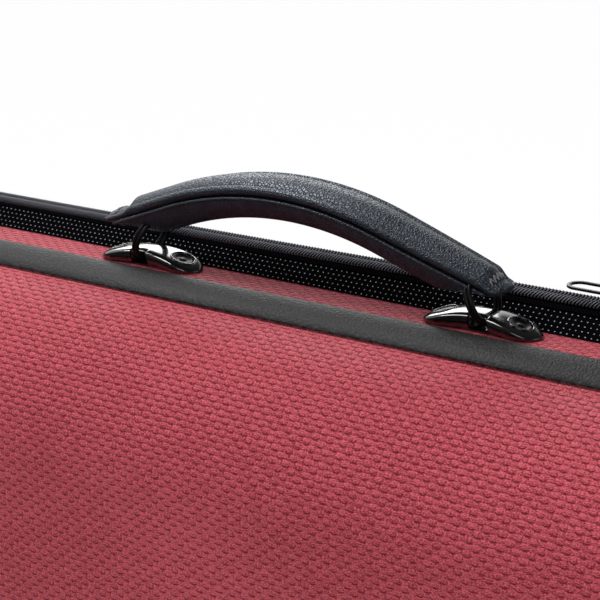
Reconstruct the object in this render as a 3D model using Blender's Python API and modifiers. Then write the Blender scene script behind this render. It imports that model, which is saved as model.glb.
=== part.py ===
"""An oblong zip-up violin case, standing on its spine with the carrying handle on top.

X runs along the case, +Y points from the base shell to the lid and +Z points up to the handle.
The origin is under the middle of the case, on the surface that it stands on. All sizes are in metres.
"""

import math

import bmesh
import bpy
import numpy as np
from mathutils import Matrix, Vector

# Shells
CASE_LENGTH = 0.790
CASE_WIDTH = 0.262
CORNER_RADIUS = 0.070
CORNER_STEPS = 6
SHOULDER_STEPS = 6
WALL = 0.0045
CLEARANCE = 0.0003
SEAM_GAP = 0.0008
RIM_MARGIN = 0.0010
LID_RIM = 0.0140
RAMP_DEPTH = 0.0120
RAMP_DROP = 0.0045
BASE_SHOULDER = 0.050
LID_SHOULDER = 0.037
SHOULDER_START = math.radians(10)

# Rubber trim on the ramp
TRIM_EDGE = 0.0009
TRIM_CROWN = 0.0024

# Zip: sloping dotted band, plain tape and coil
BAND_FOOT = 0.0136
BAND_TOP_DEPTH = 0.0050
BAND_HEIGHT = 0.0050
BAND_BACK = 0.0034
COIL_RADIUS = 0.0014
COIL_HEIGHT = 0.0078
TAPE_THICKNESS = 0.0009
SLIDER_LENGTH = 0.014
SLIDER_REACH = 0.0046
SLIDER_WALL = 0.0014
SLIDER_X = (0.113, 0.135)
BRIDGE_RADIUS = 0.0030
BRIDGE_WIRE = 0.0008
PULL_LENGTH = 0.030
PULL_WIDTH = 0.0084
PULL_THICKNESS = 0.0014

# Handle, brackets and rings
BRACKET_SPACING = 0.130
BRACKET_LENGTH = 0.041
BRACKET_WIDTH = 0.0136
BRACKET_HEIGHT = 0.0066
BRACKET_EDGE = 0.0014
TUNNEL_LENGTH = 0.0144
BRACKET_PLATE = 0.0004
RECESS_DEPTH = 0.0010
RECESS_RADIUS = 0.0041
RECESS_PLACE = 0.0135
PAD_FALL = ((0.0, 1.0), (0.2, 0.86), (0.45, 0.58), (0.72, 0.28), (1.0, 0.0))
RING_RADIUS = 0.0080
RING_WIRE = 0.0011
RING_LEAN = math.radians(22)
RING_PLAY = 0.0004
HANDLE_LENGTH = 0.160
RING_COVER = 0.0055
HANDLE_RADIUS = 0.1275
HANDLE_BEND = math.radians(18.6)
HANDLE_WIDTH = 0.0186
HANDLE_TIP_WIDTH = 0.0116
HANDLE_PANEL = 0.0034
HANDLE_THICKNESS = 0.0104
HANDLE_BODY_LENGTH = 0.142
PIPING_RADIUS = 0.0009
CORE_LENGTH = 0.096
CORE_WIDTH = 0.009
CORE_THICKNESS = 0.0012
HANDLE_STEPS = 36
PANEL_EDGE = 0.0011
PANEL_CROWN = 0.0004
TAB_LENGTH = 0.010
TAB_STEP = 0.0035
TAB_THIN_SHARE = 0.55
WRAP_ROUNDING = 0.0016
WRAP_BEVEL_SHARE = 0.78
WRAP_FULL_SHARE = 0.86
WRAP_TAPER_SHARE = 0.55

# Hinges and feet on the spine
HINGE_INSET = 0.155
HINGE_LENGTH = 0.045
LEAF_THICKNESS = 0.0015
BASE_LEAF = 0.020
LID_LEAF = 0.0095
KNUCKLE_RADIUS = 0.0026
PIN_RADIUS = 0.0012
FOOT_HEIGHT = 0.008
FOOT_LENGTH = 0.044
FOOT_INSET = 0.130
BASE_FOOT = 0.018
LID_FOOT = 0.014
FOOT_SETBACK = 0.004
FOOT_ROUNDING = 0.0015

# Padded bed, lining and bow holders
BED_DROP = 0.014
BED_FLOOR = 0.016
LINING = 0.005
TAIL_MARGIN = 0.027
BODY_LENGTH = 0.356
LOWER_BOUT = 0.214
WAIST = 0.118
UPPER_BOUT = 0.174
NECK_WIDTH = 0.062
NECK_LENGTH = 0.157
PEGBOX_WIDTH = 0.090
PEGBOX_LENGTH = 0.100
POCKET_LENGTH = 0.190
POCKET_WIDTH = 0.040
POCKET_DEPTH = 0.040
POCKET_INSET = 0.031
FLAP_THICKNESS = 0.0026
FLAP_MARGIN = 0.004
LOWER_PAD = 0.060
UPPER_PAD = 0.048
PAD_HEIGHT = 0.012
NECK_REST_LENGTH = 0.044
NECK_REST_HEIGHT = 0.032
NECK_RADIUS = 0.020
STRAP_WIDTH = 0.026
STRAP_LENGTH = 0.066
STRAP_THICKNESS = 0.0022
STRAP_ROUNDING = 0.0005
BOW_SPREAD = 0.052
BOW_POST_INSET = 0.095
BOW_POST_RADIUS = 0.006
BOW_POST_HEIGHT = 0.014
BOW_TURN_LENGTH = 0.036
BOW_TURN_WIDTH = 0.011
BOW_TURN_THICKNESS = 0.005
SLEEVE_INSET = 0.073
SLEEVE_LENGTH = 0.056
SLEEVE_RADIUS = 0.013
SLEEVE_WALL = 0.002

# Places worked out from the sizes above
BRACKET_SETBACK = BAND_FOOT + CLEARANCE + BRACKET_WIDTH / 2
BASE_RIM = BRACKET_SETBACK + BRACKET_WIDTH / 2 + RIM_MARGIN
SHOULDER_SWEEP = 1 - math.sin(SHOULDER_START)
BASE_DEPTH = BASE_RIM + RAMP_DEPTH + BASE_SHOULDER * SHOULDER_SWEEP
LID_DEPTH = LID_RIM + RAMP_DEPTH + LID_SHOULDER * SHOULDER_SWEEP
SEAM_Y = (BASE_DEPTH - LID_DEPTH) / 2
SPINE_Z = FOOT_HEIGHT
MIDDLE_Z = SPINE_Z + CASE_WIDTH / 2
WALL_Z = SPINE_Z + CASE_WIDTH
BASE, LID = -1, 1
BRACKET_Y = SEAM_Y - SEAM_GAP / 2 - BRACKET_SETBACK
RING_Z = WALL_Z + CLEARANCE + RING_PLAY + RING_WIRE + RING_RADIUS
RING_TOP_X = BRACKET_SPACING / 2 - RING_RADIUS * math.sin(RING_LEAN)
RING_TOP_Z = RING_Z + RING_RADIUS * math.cos(RING_LEAN)
BEND_X = HANDLE_RADIUS * math.sin(HANDLE_BEND)
RING_DROP = (RING_TOP_X - BEND_X) * math.tan(HANDLE_BEND)
ARCH_CENTRE_Z = RING_TOP_Z + RING_COVER + RING_DROP - HANDLE_RADIUS * math.cos(HANDLE_BEND)
HINGE_Z = SPINE_Z - KNUCKLE_RADIUS - RING_PLAY
BED_FLOOR_DEPTH = BASE_DEPTH - WALL - CLEARANCE - BED_FLOOR
LID_FLOOR_DEPTH = LID_DEPTH - WALL - CLEARANCE - LINING
CASE_END = CASE_LENGTH / 2
BODY_TAIL = CASE_END - TAIL_MARGIN
BODY_TOP = BODY_TAIL - BODY_LENGTH
NECK_END = BODY_TOP - NECK_LENGTH
BOW_POST_X = CASE_END - BOW_POST_INSET
SLEEVE_X = SLEEVE_INSET - CASE_END


def clear_scene():
    for obj in list(bpy.data.objects):
        bpy.data.objects.remove(obj)


def new_collection(name):
    collection = bpy.data.collections.new(name)
    bpy.context.scene.collection.children.link(collection)
    return collection


def material(name, colour, roughness, metallic=0.0):
    made = bpy.data.materials.new(name)
    made.use_nodes = True
    shader = made.node_tree.nodes["Principled BSDF"]
    shader.inputs["Base Color"].default_value = (*colour, 1.0)
    shader.inputs["Roughness"].default_value = roughness
    shader.inputs["Metallic"].default_value = metallic
    return made


def add_object(name, mesh, finish=None):
    """A part with its own finish, or a hidden cutter where no finish is given."""
    obj = bpy.data.objects.new(name, mesh)
    if finish is None:
        obj.hide_render = True
        obj.display_type = "WIRE"
        CUTTERS.objects.link(obj)
        return obj
    mesh.materials.append(material(name, *finish))
    mesh.shade_smooth()
    mesh.set_sharp_from_angle(angle=math.radians(35))
    PARTS.objects.link(obj)
    return obj


def mesh_of(name, build):
    """A mesh from a function that fills a bmesh, with its faces turned outwards."""
    bm = bmesh.new()
    build(bm)
    bmesh.ops.recalc_face_normals(bm, faces=bm.faces)
    mesh = bpy.data.meshes.new(name)
    bm.to_mesh(mesh)
    bm.free()
    return mesh


def loft(name, sections, finish=None, closed=False):
    """A solid through sections of like point count, capped at both ends or closed into a loop."""

    def build(bm):
        rows = [[bm.verts.new(point) for point in section] for section in sections]
        pairs = list(zip(rows, rows[1:]))
        if closed:
            pairs.append((rows[-1], rows[0]))
        else:
            bm.faces.new(rows[0])
            bm.faces.new(rows[-1])
        for first, second in pairs:
            for i in range(len(first)):
                bm.faces.new((first[i - 1], first[i], second[i], second[i - 1]))

    return add_object(name, mesh_of(name, build), finish)


def block(name, low, high, finish=None, rounding=0.0):
    """A box between two corners, with its edges rounded where a rounding is given."""
    centre = (Vector(low) + Vector(high)) / 2
    size = Vector(high) - Vector(low)

    def build(bm):
        placed = Matrix.Translation(centre) @ Matrix.Diagonal((*size, 1.0))
        bmesh.ops.create_cube(bm, size=1.0, matrix=placed)
        if rounding:
            bmesh.ops.bevel(bm, geom=bm.edges, offset=rounding, segments=2, profile=0.5, affect="EDGES")

    return add_object(name, mesh_of(name, build), finish)


def cylinder(name, centre, axis, radius, length, finish=None, segments=20):
    turn = Vector((0, 0, 1)).rotation_difference(Vector(axis)).to_matrix().to_4x4()

    def build(bm):
        bmesh.ops.create_cone(
            bm, cap_ends=True, segments=segments, radius1=radius, radius2=radius, depth=length,
            matrix=Matrix.Translation(centre) @ turn,
        )

    return add_object(name, mesh_of(name, build), finish)


def flat_outline(name, outlines, thickness, placed, finish=None, smooth=0):
    """A plate from a flat outline and its holes; smooth gives the points between each two on a curve."""
    curve = bpy.data.curves.new(name, "CURVE")
    curve.dimensions = "2D"
    curve.fill_mode = "BOTH"
    curve.extrude = thickness / 2
    curve.resolution_u = max(smooth, 1)
    for points in outlines:
        spline = curve.splines.new("BEZIER" if smooth else "POLY")
        spline.use_cyclic_u = True
        knots = spline.bezier_points if smooth else spline.points
        knots.add(len(points) - 1)
        for knot, (x, y) in zip(knots, points):
            if smooth:
                knot.co = (x, y, 0)
                knot.handle_left_type = knot.handle_right_type = "AUTO"
            else:
                knot.co = (x, y, 0, 1)
    return solid_curve(name, curve, placed, finish)


def wire(name, points, radius, finish=None, closed=False):
    """A round wire through points."""
    curve = bpy.data.curves.new(name, "CURVE")
    curve.dimensions = "3D"
    curve.bevel_depth = radius
    curve.bevel_resolution = 2
    curve.use_fill_caps = True
    spline = curve.splines.new("POLY")
    spline.use_cyclic_u = closed
    spline.points.add(len(points) - 1)
    for knot, point in zip(spline.points, points):
        knot.co = (*point, 1)
    return solid_curve(name, curve, Matrix.Identity(4), finish)


def solid_curve(name, curve, placed, finish):
    """The curve as a welded mesh, so that it can be cut and joined."""
    guide = bpy.data.objects.new(name + "_guide", curve)
    bpy.context.scene.collection.objects.link(guide)
    bpy.context.view_layer.update()
    graph = bpy.context.evaluated_depsgraph_get()
    mesh = bpy.data.meshes.new_from_object(guide.evaluated_get(graph))
    bpy.data.objects.remove(guide)

    def build(bm):
        bm.from_mesh(mesh)
        bmesh.ops.remove_doubles(bm, verts=bm.verts, dist=1e-6)
        bmesh.ops.transform(bm, matrix=placed, verts=bm.verts)

    return add_object(name, mesh_of(name, build), finish)


def combine(obj, other, operation="DIFFERENCE", solver="EXACT"):
    modifier = obj.modifiers.new(f"{operation.lower()} {other.name}", "BOOLEAN")
    modifier.object = other
    modifier.operation = operation
    modifier.solver = solver


def rounded(obj, width, segments=2):
    modifier = obj.modifiers.new("rounded edges", "BEVEL")
    modifier.width = width
    modifier.segments = segments
    modifier.limit_method = "ANGLE"
    modifier.angle_limit = math.radians(40)
    return obj


def pivot(name, place, parts):
    """An empty on a joint's axis, carrying the parts that turn or slide there."""
    empty = bpy.data.objects.new(name, None)
    empty.location = place
    PARTS.objects.link(empty)
    for obj in parts:
        obj.parent = empty
        obj.location = -Vector(place)
    return empty


def seam(side, depth):
    """The Y of a depth measured from the seam into the base or the lid."""
    return SEAM_Y + side * (SEAM_GAP / 2 + depth)


def shell_profile(rim, shoulder):
    """Inset and depth from the rim over the trim's ramp and the round shoulder to the flat face."""
    profile = [(0.0, 0.0), (0.0, rim)]
    for step in range(SHOULDER_STEPS + 1):
        angle = SHOULDER_START + (math.pi / 2 - SHOULDER_START) * step / SHOULDER_STEPS
        inset = RAMP_DROP + shoulder * (math.cos(SHOULDER_START) - math.cos(angle))
        depth = rim + RAMP_DEPTH + shoulder * (math.sin(angle) - math.sin(SHOULDER_START))
        profile.append((inset, depth))
    return profile


def offset_profile(profile, distance):
    """The profile moved inwards by a distance, square to itself."""
    moved = []
    last = len(profile) - 1
    for i, (inset, depth) in enumerate(profile):
        before = Vector(profile[max(i - 1, 0)])
        after = Vector(profile[min(i + 1, last)])
        here = Vector((inset, depth))
        arriving = (here - before).normalized() if i else Vector((0, 1))
        leaving = (after - here).normalized() if i < last else Vector((1, 0))
        along = (arriving + leaving).normalized()
        inwards = Vector((along.y, -along.x))
        reach = distance / max(along.dot(arriving), 0.5)
        moved.append((inset + inwards.x * reach, depth + inwards.y * reach))
    moved[0] = (distance, 0.0)
    return moved


def outline_ring(inset, depth, side):
    """The case's rounded outline, drawn in by an inset, at a depth from the seam."""
    radius = max(CORNER_RADIUS - inset, CORNER_RADIUS / 20)
    across = CASE_LENGTH / 2 - inset - radius
    up = CASE_WIDTH / 2 - inset - radius
    points = []
    for corner, (sx, sz) in enumerate(((1, 1), (-1, 1), (-1, -1), (1, -1))):
        for step in range(CORNER_STEPS + 1):
            angle = math.pi / 2 * (corner + step / CORNER_STEPS)
            x = sx * across + radius * math.cos(angle)
            z = sz * up + radius * math.sin(angle)
            points.append((x, seam(side, depth), MIDDLE_Z + z))
    return points


def tray(name, profile, outside, inside, side, finish):
    """An open tray between two offsets of a shell's profile."""
    outer = [outline_ring(*point, side) for point in offset_profile(profile, outside)]
    inner = [outline_ring(*point, side) for point in offset_profile(profile, inside)]
    return loft(name, outer[::-1] + inner, finish)


def filled(name, profile, offset, top, side, finish=None):
    """The shell's profile at an offset, as a solid from a depth below the seam to the flat face."""
    rings = [point for point in offset_profile(profile, offset) if point[1] > top]
    rings.insert(0, (offset, top))
    return loft(name, [outline_ring(*point, side) for point in rings], finish)


def trim(name, rim, side, finish):
    """The crowned rubber strip that lies on the ramp all round a shell."""

    def above_ramp(part, height):
        return -RAMP_DROP * part + height, rim + RAMP_DEPTH * part

    low = CLEARANCE * 1.2
    section = [
        above_ramp(0.03, low),
        above_ramp(0.03, TRIM_EDGE),
        above_ramp(0.22, TRIM_CROWN),
        above_ramp(0.60, TRIM_CROWN * 1.1),
        above_ramp(0.90, TRIM_CROWN * 0.8),
        above_ramp(0.99, TRIM_EDGE),
        above_ramp(0.97, low),
    ]
    return loft(name, [outline_ring(-out, depth, side) for out, depth in section], finish, closed=True)


def zip_stations():
    """Points and outward directions along the zip, from one spine corner over the top to the other."""
    half = CASE_LENGTH / 2
    across = half - CORNER_RADIUS
    low = SPINE_Z + CORNER_RADIUS
    high = WALL_Z - CORNER_RADIUS
    stations = [(-half, low, -1.0, 0.0)]
    for x, start in ((-across, math.pi), (across, math.pi / 2)):
        for step in range(CORNER_STEPS + 1):
            angle = start - math.pi / 2 * step / CORNER_STEPS
            nx, nz = math.cos(angle), math.sin(angle)
            stations.append((x + CORNER_RADIUS * nx, high + CORNER_RADIUS * nz, nx, nz))
    stations.append((half, low, 1.0, 0.0))
    return stations


def zip_strip(name, section, side, finish):
    """A section of heights and depths run along the zip."""
    rows = [
        [(x + nx * out, seam(side, depth), z + nz * out) for out, depth in section]
        for x, z, nx, nz in zip_stations()
    ]
    return loft(name, rows, finish)


def coil_section():
    middle = COIL_RADIUS + CLEARANCE
    angles = [math.pi / 4 * (step + 0.5) for step in range(8)]
    return [
        (COIL_HEIGHT + COIL_RADIUS * math.sin(angle), middle + COIL_RADIUS * math.cos(angle))
        for angle in angles
    ]


def zip_half(label, side):
    """The dotted band, the tape and the half of the coil on one side of the seam."""
    foot = CLEARANCE
    band = [(foot, BAND_FOOT), (BAND_HEIGHT, BAND_TOP_DEPTH), (BAND_HEIGHT, BAND_BACK), (foot, BAND_BACK)]
    tape_low = BAND_HEIGHT + CLEARANCE
    tape_high = COIL_HEIGHT + COIL_RADIUS * 0.5
    coil_back = 2 * COIL_RADIUS + 2 * CLEARANCE
    tape = [
        (tape_low, BAND_TOP_DEPTH),
        (tape_high, coil_back + TAPE_THICKNESS),
        (tape_high, coil_back),
        (tape_low, BAND_TOP_DEPTH - TAPE_THICKNESS),
    ]
    return [
        zip_strip(f"zip_band_{label}", band, side, BLACK_FABRIC),
        zip_strip(f"zip_tape_{label}", tape, side, BLACK_FABRIC),
        zip_strip(f"zip_coil_{label}", coil_section(), side, BLACK_NYLON),
    ]


def zip_slider(label, x, facing):
    """A slider that rides on the base half of the coil, and the pull that turns in its bridge."""
    plate_low = WALL_Z + COIL_HEIGHT + COIL_RADIUS + CLEARANCE * 1.5
    plate_high = plate_low + SLIDER_WALL
    tape_side = BAND_TOP_DEPTH + CLEARANCE * 2
    hook = WALL_Z + BAND_HEIGHT + CLEARANCE * 2
    section = [
        (hook, seam(BASE, tape_side + SLIDER_WALL)),
        (plate_high, seam(BASE, tape_side + SLIDER_WALL)),
        (plate_high, seam(LID, SLIDER_REACH)),
        (plate_low, seam(LID, SLIDER_REACH)),
        (plate_low, seam(BASE, tape_side)),
        (hook, seam(BASE, tape_side)),
    ]
    ends = (x - SLIDER_LENGTH / 2, x + SLIDER_LENGTH / 2)
    slider = loft(f"zip_slider_{label}", [[(end, y, z) for z, y in section] for end in ends], DARK_METAL)
    axle = Vector((x, SEAM_Y, plate_high + PULL_THICKNESS))
    arch = [
        axle + BRIDGE_RADIUS * Vector((math.cos(angle), 0, math.sin(angle)))
        for angle in (math.pi * step / 10 for step in range(11))
    ]
    down = Vector((0, 0, -PULL_THICKNESS - SLIDER_WALL / 2))
    bridge = wire(f"bridge_{label}", [arch[0] + down, *arch, arch[-1] + down], BRIDGE_WIRE)
    combine(slider, bridge, "UNION")
    window = BRIDGE_RADIUS + BRIDGE_WIRE + CLEARANCE * 2
    hole = PULL_WIDTH * 0.24
    pull = flat_outline(
        f"zip_pull_{label}",
        [
            slot_outline(-PULL_THICKNESS * 0.6, PULL_LENGTH, PULL_WIDTH / 2, PULL_WIDTH / 2),
            slot_outline(PULL_THICKNESS * 0.6, window, BRIDGE_WIRE * 2, 0.0),
            slot_outline(PULL_LENGTH * 0.42, PULL_LENGTH - PULL_WIDTH * 0.28, hole, hole),
        ],
        PULL_THICKNESS,
        Matrix.Translation(axle) @ Matrix.Diagonal((facing, 1, 1, 1)),
        DARK_METAL,
    )
    slide = pivot(f"{label}_slider_pivot", axle, [slider])
    pivot(f"{label}_pull_pivot", axle, [pull]).parent = slide
    bpy.data.objects[f"{label}_pull_pivot"].location = (0, 0, 0)
    pull.location = -axle


def slot_outline(start, end, half, radius):
    """A strip along X from start to end with its far end rounded."""
    points = [(start, -half), (end - radius, -half)]
    for step in range(1, 6 if radius else 0):
        angle = -math.pi / 2 + math.pi * step / 6
        points.append((end - radius + radius * math.cos(angle), half * math.sin(angle)))
    points += [(end - radius, half), (start, half)]
    return points


def pad_height(distance):
    """Height of a bracket's pad above its foot, at a distance from the bracket's middle."""
    shoulder = TUNNEL_LENGTH / 2
    part = (distance - shoulder) / (BRACKET_LENGTH / 2 - shoulder)
    return BRACKET_EDGE + (BRACKET_HEIGHT - BRACKET_EDGE) * float(np.interp(part, *zip(*PAD_FALL)))


def bracket(label, x):
    """A boat-shaped bracket: two riveted pads joined by a saddle that the ring passes under."""
    half = BRACKET_LENGTH / 2
    base = WALL_Z + CLEARANCE
    shoulder = TUNNEL_LENGTH / 2
    places = [shoulder + (half - shoulder) * part for part, fall in PAD_FALL]
    rise = [(place, pad_height(place)) for place in places]
    side_view = [(-half, 0.0), (half, 0.0), *rise[::-1], *[(-a, b) for a, b in rise]]
    upright = Matrix.Rotation(math.pi / 2, 4, "X")
    body = flat_outline(
        f"handle_bracket_{label}", [side_view], BRACKET_WIDTH * 1.2,
        Matrix.Translation((x, BRACKET_Y, base)) @ upright, BLACK_GLOSS,
    )
    wide = BRACKET_WIDTH / 2
    quarter = [(half, 0.0), (half * 0.93, wide * 0.55), (half * 0.68, wide), (half * 0.36, wide * 0.94)]
    plan = quarter + [(0.0, wide * 0.88)] + [(-a, b) for a, b in quarter[::-1]]
    plan += [(a, -b) for a, b in plan[1:-1]][::-1]
    combine(body, flat_outline(
        f"bracket_plan_{label}", [plan], BRACKET_HEIGHT * 3,
        Matrix.Translation((x, BRACKET_Y, base)), smooth=3,
    ), "INTERSECT")
    low = (x - TUNNEL_LENGTH / 2, BRACKET_Y - BRACKET_WIDTH, base + BRACKET_PLATE)
    high = (x + TUNNEL_LENGTH / 2, BRACKET_Y + BRACKET_WIDTH, base + 2 * BRACKET_HEIGHT)
    tunnel = block(f"ring_tunnel_{label}", low, high)
    inner = RING_RADIUS * math.cos(RING_LEAN) - RING_WIRE - RING_PLAY
    saddle = cylinder(
        f"saddle_{label}", (x, BRACKET_Y, RING_Z), (1, 0, 0), inner, BRACKET_LENGTH, segments=28,
    )
    combine(tunnel, saddle)
    combine(body, tunnel)
    near, far = (pad_height(RECESS_PLACE + step) for step in (-RECESS_RADIUS, RECESS_RADIUS))
    tilt = math.atan2(near - far, 2 * RECESS_RADIUS)
    for end, sign in (("inner", -1), ("outer", 1)):
        outward = math.copysign(1, x) * sign
        axis = Vector((outward * math.sin(tilt), 0, math.cos(tilt)))
        surface = Vector((x + outward * RECESS_PLACE, BRACKET_Y, base + (near + far) / 2))
        floor = surface - axis * RECESS_DEPTH
        middle = floor + axis * BRACKET_HEIGHT / 2
        combine(body, cylinder(f"recess_{label}_{end}", middle, axis, RECESS_RADIUS, BRACKET_HEIGHT))
        rivet(f"bracket_rivet_{label}_{end}", floor, axis)


def rivet(name, floor, axis):
    """A domed rivet head lying in its recess."""
    height = RECESS_DEPTH * 1.2
    middle = floor + axis * (CLEARANCE + height / 2)
    obj = cylinder(name, middle, axis, RECESS_RADIUS - CLEARANCE * 2, height, DARK_METAL)
    rounded(obj, RECESS_DEPTH * 0.7)


def ring(name, x, wire_radius, finish=None):
    """A ring round the saddle, its top leaning towards the middle of the handle."""
    lean = math.copysign(RING_LEAN, x)
    up = Vector((-math.sin(lean), 0, math.cos(lean)))
    centre = Vector((x, BRACKET_Y, RING_Z))
    turns = [2 * math.pi * step / 28 for step in range(28)]
    points = [centre + RING_RADIUS * (math.cos(a) * Vector((0, 1, 0)) + math.sin(a) * up) for a in turns]
    return wire(name, points, wire_radius, finish, closed=True)


def arch_point(run, across, lift):
    """A point of the handle: a run along its bent top line, a distance across it and one above it."""
    bend = max(-HANDLE_BEND, min(HANDLE_BEND, run / HANDLE_RADIUS))
    beyond = run - bend * HANDLE_RADIUS
    radius = HANDLE_RADIUS + lift
    x = radius * math.sin(bend) + beyond * math.cos(bend)
    z = ARCH_CENTRE_Z + radius * math.cos(bend) - beyond * math.sin(bend)
    return (x, BRACKET_Y + across, z)


def end_share(run, length):
    """How far a run is from the handle's middle, as a share of half a length."""
    return abs(arch_point(run, 0.0, 0.0)[0]) / (length / 2)


def handle_half_width(run):
    return (HANDLE_WIDTH - (HANDLE_WIDTH - HANDLE_TIP_WIDTH) * end_share(run, HANDLE_LENGTH) ** 2) / 2


def arch_runs(length, steps=HANDLE_STEPS):
    """Runs from one end to the other of a stretch of the handle that has the given length along X."""
    end = HANDLE_RADIUS * HANDLE_BEND + (length / 2 - BEND_X) / math.cos(HANDLE_BEND)
    return [end * (2 * step / steps - 1) for step in range(steps + 1)]


def handle():
    """The padded leather handle: top panel, underside wrap, steel core, piping and the two rings."""
    panel = []
    body = []
    low = -HANDLE_PANEL - CLEARANCE
    crown = [(-1, -HANDLE_PANEL), (-1, -PANEL_EDGE), (-0.86, -PANEL_CROWN), (-0.4, 0.0)]
    crown += [(-share, lift) for share, lift in crown[::-1]]
    for run in arch_runs(HANDLE_LENGTH):
        half = handle_half_width(run)
        into_tab = TAB_LENGTH - HANDLE_LENGTH / 2 * (1 - end_share(run, HANDLE_LENGTH))
        thin = 1 - TAB_THIN_SHARE * max(0.0, min(1.0, into_tab / TAB_STEP))
        heights = [(share, (lift + HANDLE_PANEL) * thin - HANDLE_PANEL) for share, lift in crown]
        panel.append([arch_point(run, half * share, height) for share, height in heights])
    for run in arch_runs(HANDLE_BODY_LENGTH):
        half = handle_half_width(run) - 2 * PIPING_RADIUS - CLEARANCE
        beyond = max(0.0, end_share(run, HANDLE_BODY_LENGTH) - WRAP_FULL_SHARE) / (1 - WRAP_FULL_SHARE)
        thick = HANDLE_THICKNESS - (HANDLE_THICKNESS - HANDLE_PANEL) * WRAP_TAPER_SHARE * beyond
        line = [(-1, low), (-1, WRAP_ROUNDING - thick), (-WRAP_BEVEL_SHARE, -thick)]
        line += [(-share, lift) for share, lift in line[::-1]]
        body.append([arch_point(run, half * share, lift) for share, lift in line])
    wrap = loft("handle_wrap", body, LEATHER)
    parts = [loft("handle_panel", panel, LEATHER), wrap]
    for label, side in (("front", -1), ("rear", 1)):
        lift = low - PIPING_RADIUS
        line = [
            arch_point(run, side * (handle_half_width(run) - PIPING_RADIUS), lift)
            for run in arch_runs(HANDLE_BODY_LENGTH)
        ]
        parts.append(wire(f"handle_piping_{label}", line, PIPING_RADIUS, LEATHER))
    sewn = parts[1:]
    parts.append(core_strip("handle_core", 0.0, low - CLEARANCE, SPRING_STEEL))
    combine(wrap, core_strip("core_groove", CLEARANCE, low + CLEARANCE))
    for label, side in (("left", -1), ("right", 1)):
        x = side * BRACKET_SPACING / 2
        bracket(label, x)
        parts.append(ring(f"handle_ring_{label}", x, RING_WIRE, DARK_METAL))
        passage = ring(f"ring_passage_{label}", x, RING_WIRE + CLEARANCE)
        for piece in sewn:
            combine(piece, passage, solver="MANIFOLD")
    pivot("handle_pivot", (0, BRACKET_Y, RING_Z), parts)


def core_strip(name, play, top, finish=None):
    """The spring-steel strip under the panel, or the groove for it."""
    half = CORE_WIDTH / 2 + play
    low = -HANDLE_PANEL - 3 * CLEARANCE - CORE_THICKNESS - play
    line = [(-half, low), (half, low), (half, top), (-half, top)]
    rows = [
        [arch_point(run, across, lift) for across, lift in line]
        for run in arch_runs(CORE_LENGTH + 2 * play)
    ]
    return loft(name, rows, finish)


def hinge(label, x):
    """A three-knuckle butt hinge on the outside of the spine; returns the lid's leaf."""
    top = SPINE_Z - CLEARANCE
    knuckle = HINGE_LENGTH / 3
    play = CLEARANCE * 1.5
    leaves = {}
    for owner, side, reach, slots in (("base", BASE, BASE_LEAF, (-1, 1)), ("lid", LID, LID_LEAF, (0,))):
        start = KNUCKLE_RADIUS + 2 * CLEARANCE
        y_near, y_far = SEAM_Y + side * start, SEAM_Y + side * (start + reach)
        leaf = block(
            f"hinge_leaf_{owner}_{label}",
            (x - HINGE_LENGTH / 2, min(y_near, y_far), top - LEAF_THICKNESS),
            (x + HINGE_LENGTH / 2, max(y_near, y_far), top), DARK_METAL,
        )
        for slot in slots:
            middle = x + slot * knuckle
            length = knuckle - 2 * play
            tab_end = SEAM_Y + side * (start + LEAF_THICKNESS)
            tab = block(
                f"tab_{owner}_{label}_{slot}",
                (middle - length / 2, min(SEAM_Y, tab_end), top - LEAF_THICKNESS),
                (middle + length / 2, max(SEAM_Y, tab_end), top),
            )
            barrel = cylinder(
                f"barrel_{owner}_{label}_{slot}", (middle, SEAM_Y, HINGE_Z), (1, 0, 0),
                KNUCKLE_RADIUS, length, segments=16,
            )
            combine(leaf, tab, "UNION")
            combine(leaf, barrel, "UNION")
        bore = cylinder(
            f"pin_bore_{owner}_{label}", (x, SEAM_Y, HINGE_Z), (1, 0, 0),
            PIN_RADIUS + CLEARANCE, HINGE_LENGTH * 2, segments=12,
        )
        combine(leaf, bore)
        leaves[owner] = leaf
    cylinder(
        f"hinge_pin_{label}", (x, SEAM_Y, HINGE_Z), (1, 0, 0), PIN_RADIUS, HINGE_LENGTH, STEEL, segments=12,
    )
    return leaves["lid"]


def foot(name, x, side, rim, width, envelope):
    """A rubber foot shaped to the shoulder that it is glued to."""
    near = seam(side, rim + RAMP_DEPTH + FOOT_SETBACK)
    far = seam(side, rim + RAMP_DEPTH + FOOT_SETBACK + width)
    obj = block(
        name,
        (x - FOOT_LENGTH / 2, min(near, far), 0.0),
        (x + FOOT_LENGTH / 2, max(near, far), SPINE_Z + RAMP_DROP + width),
        RUBBER, rounding=FOOT_ROUNDING,
    )
    combine(obj, envelope)
    return obj


def violin_outline():
    """The body's outline from tail to neck, as knots of a smooth closed curve."""
    half = [
        (0.000, 0.0),
        (0.022, LOWER_BOUT * 0.29),
        (0.110, LOWER_BOUT * 0.47),
        (0.240, LOWER_BOUT * 0.50),
        (0.390, LOWER_BOUT * 0.41),
        (0.480, WAIST * 0.54),
        (0.570, WAIST * 0.50),
        (0.660, WAIST * 0.56),
        (0.740, UPPER_BOUT * 0.46),
        (0.840, UPPER_BOUT * 0.50),
        (0.940, UPPER_BOUT * 0.40),
        (0.990, UPPER_BOUT * 0.20),
    ]
    upper = [(BODY_TAIL - BODY_LENGTH * share, width) for share, width in half]
    return upper + [(x, -width) for x, width in upper[:0:-1]]


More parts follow.
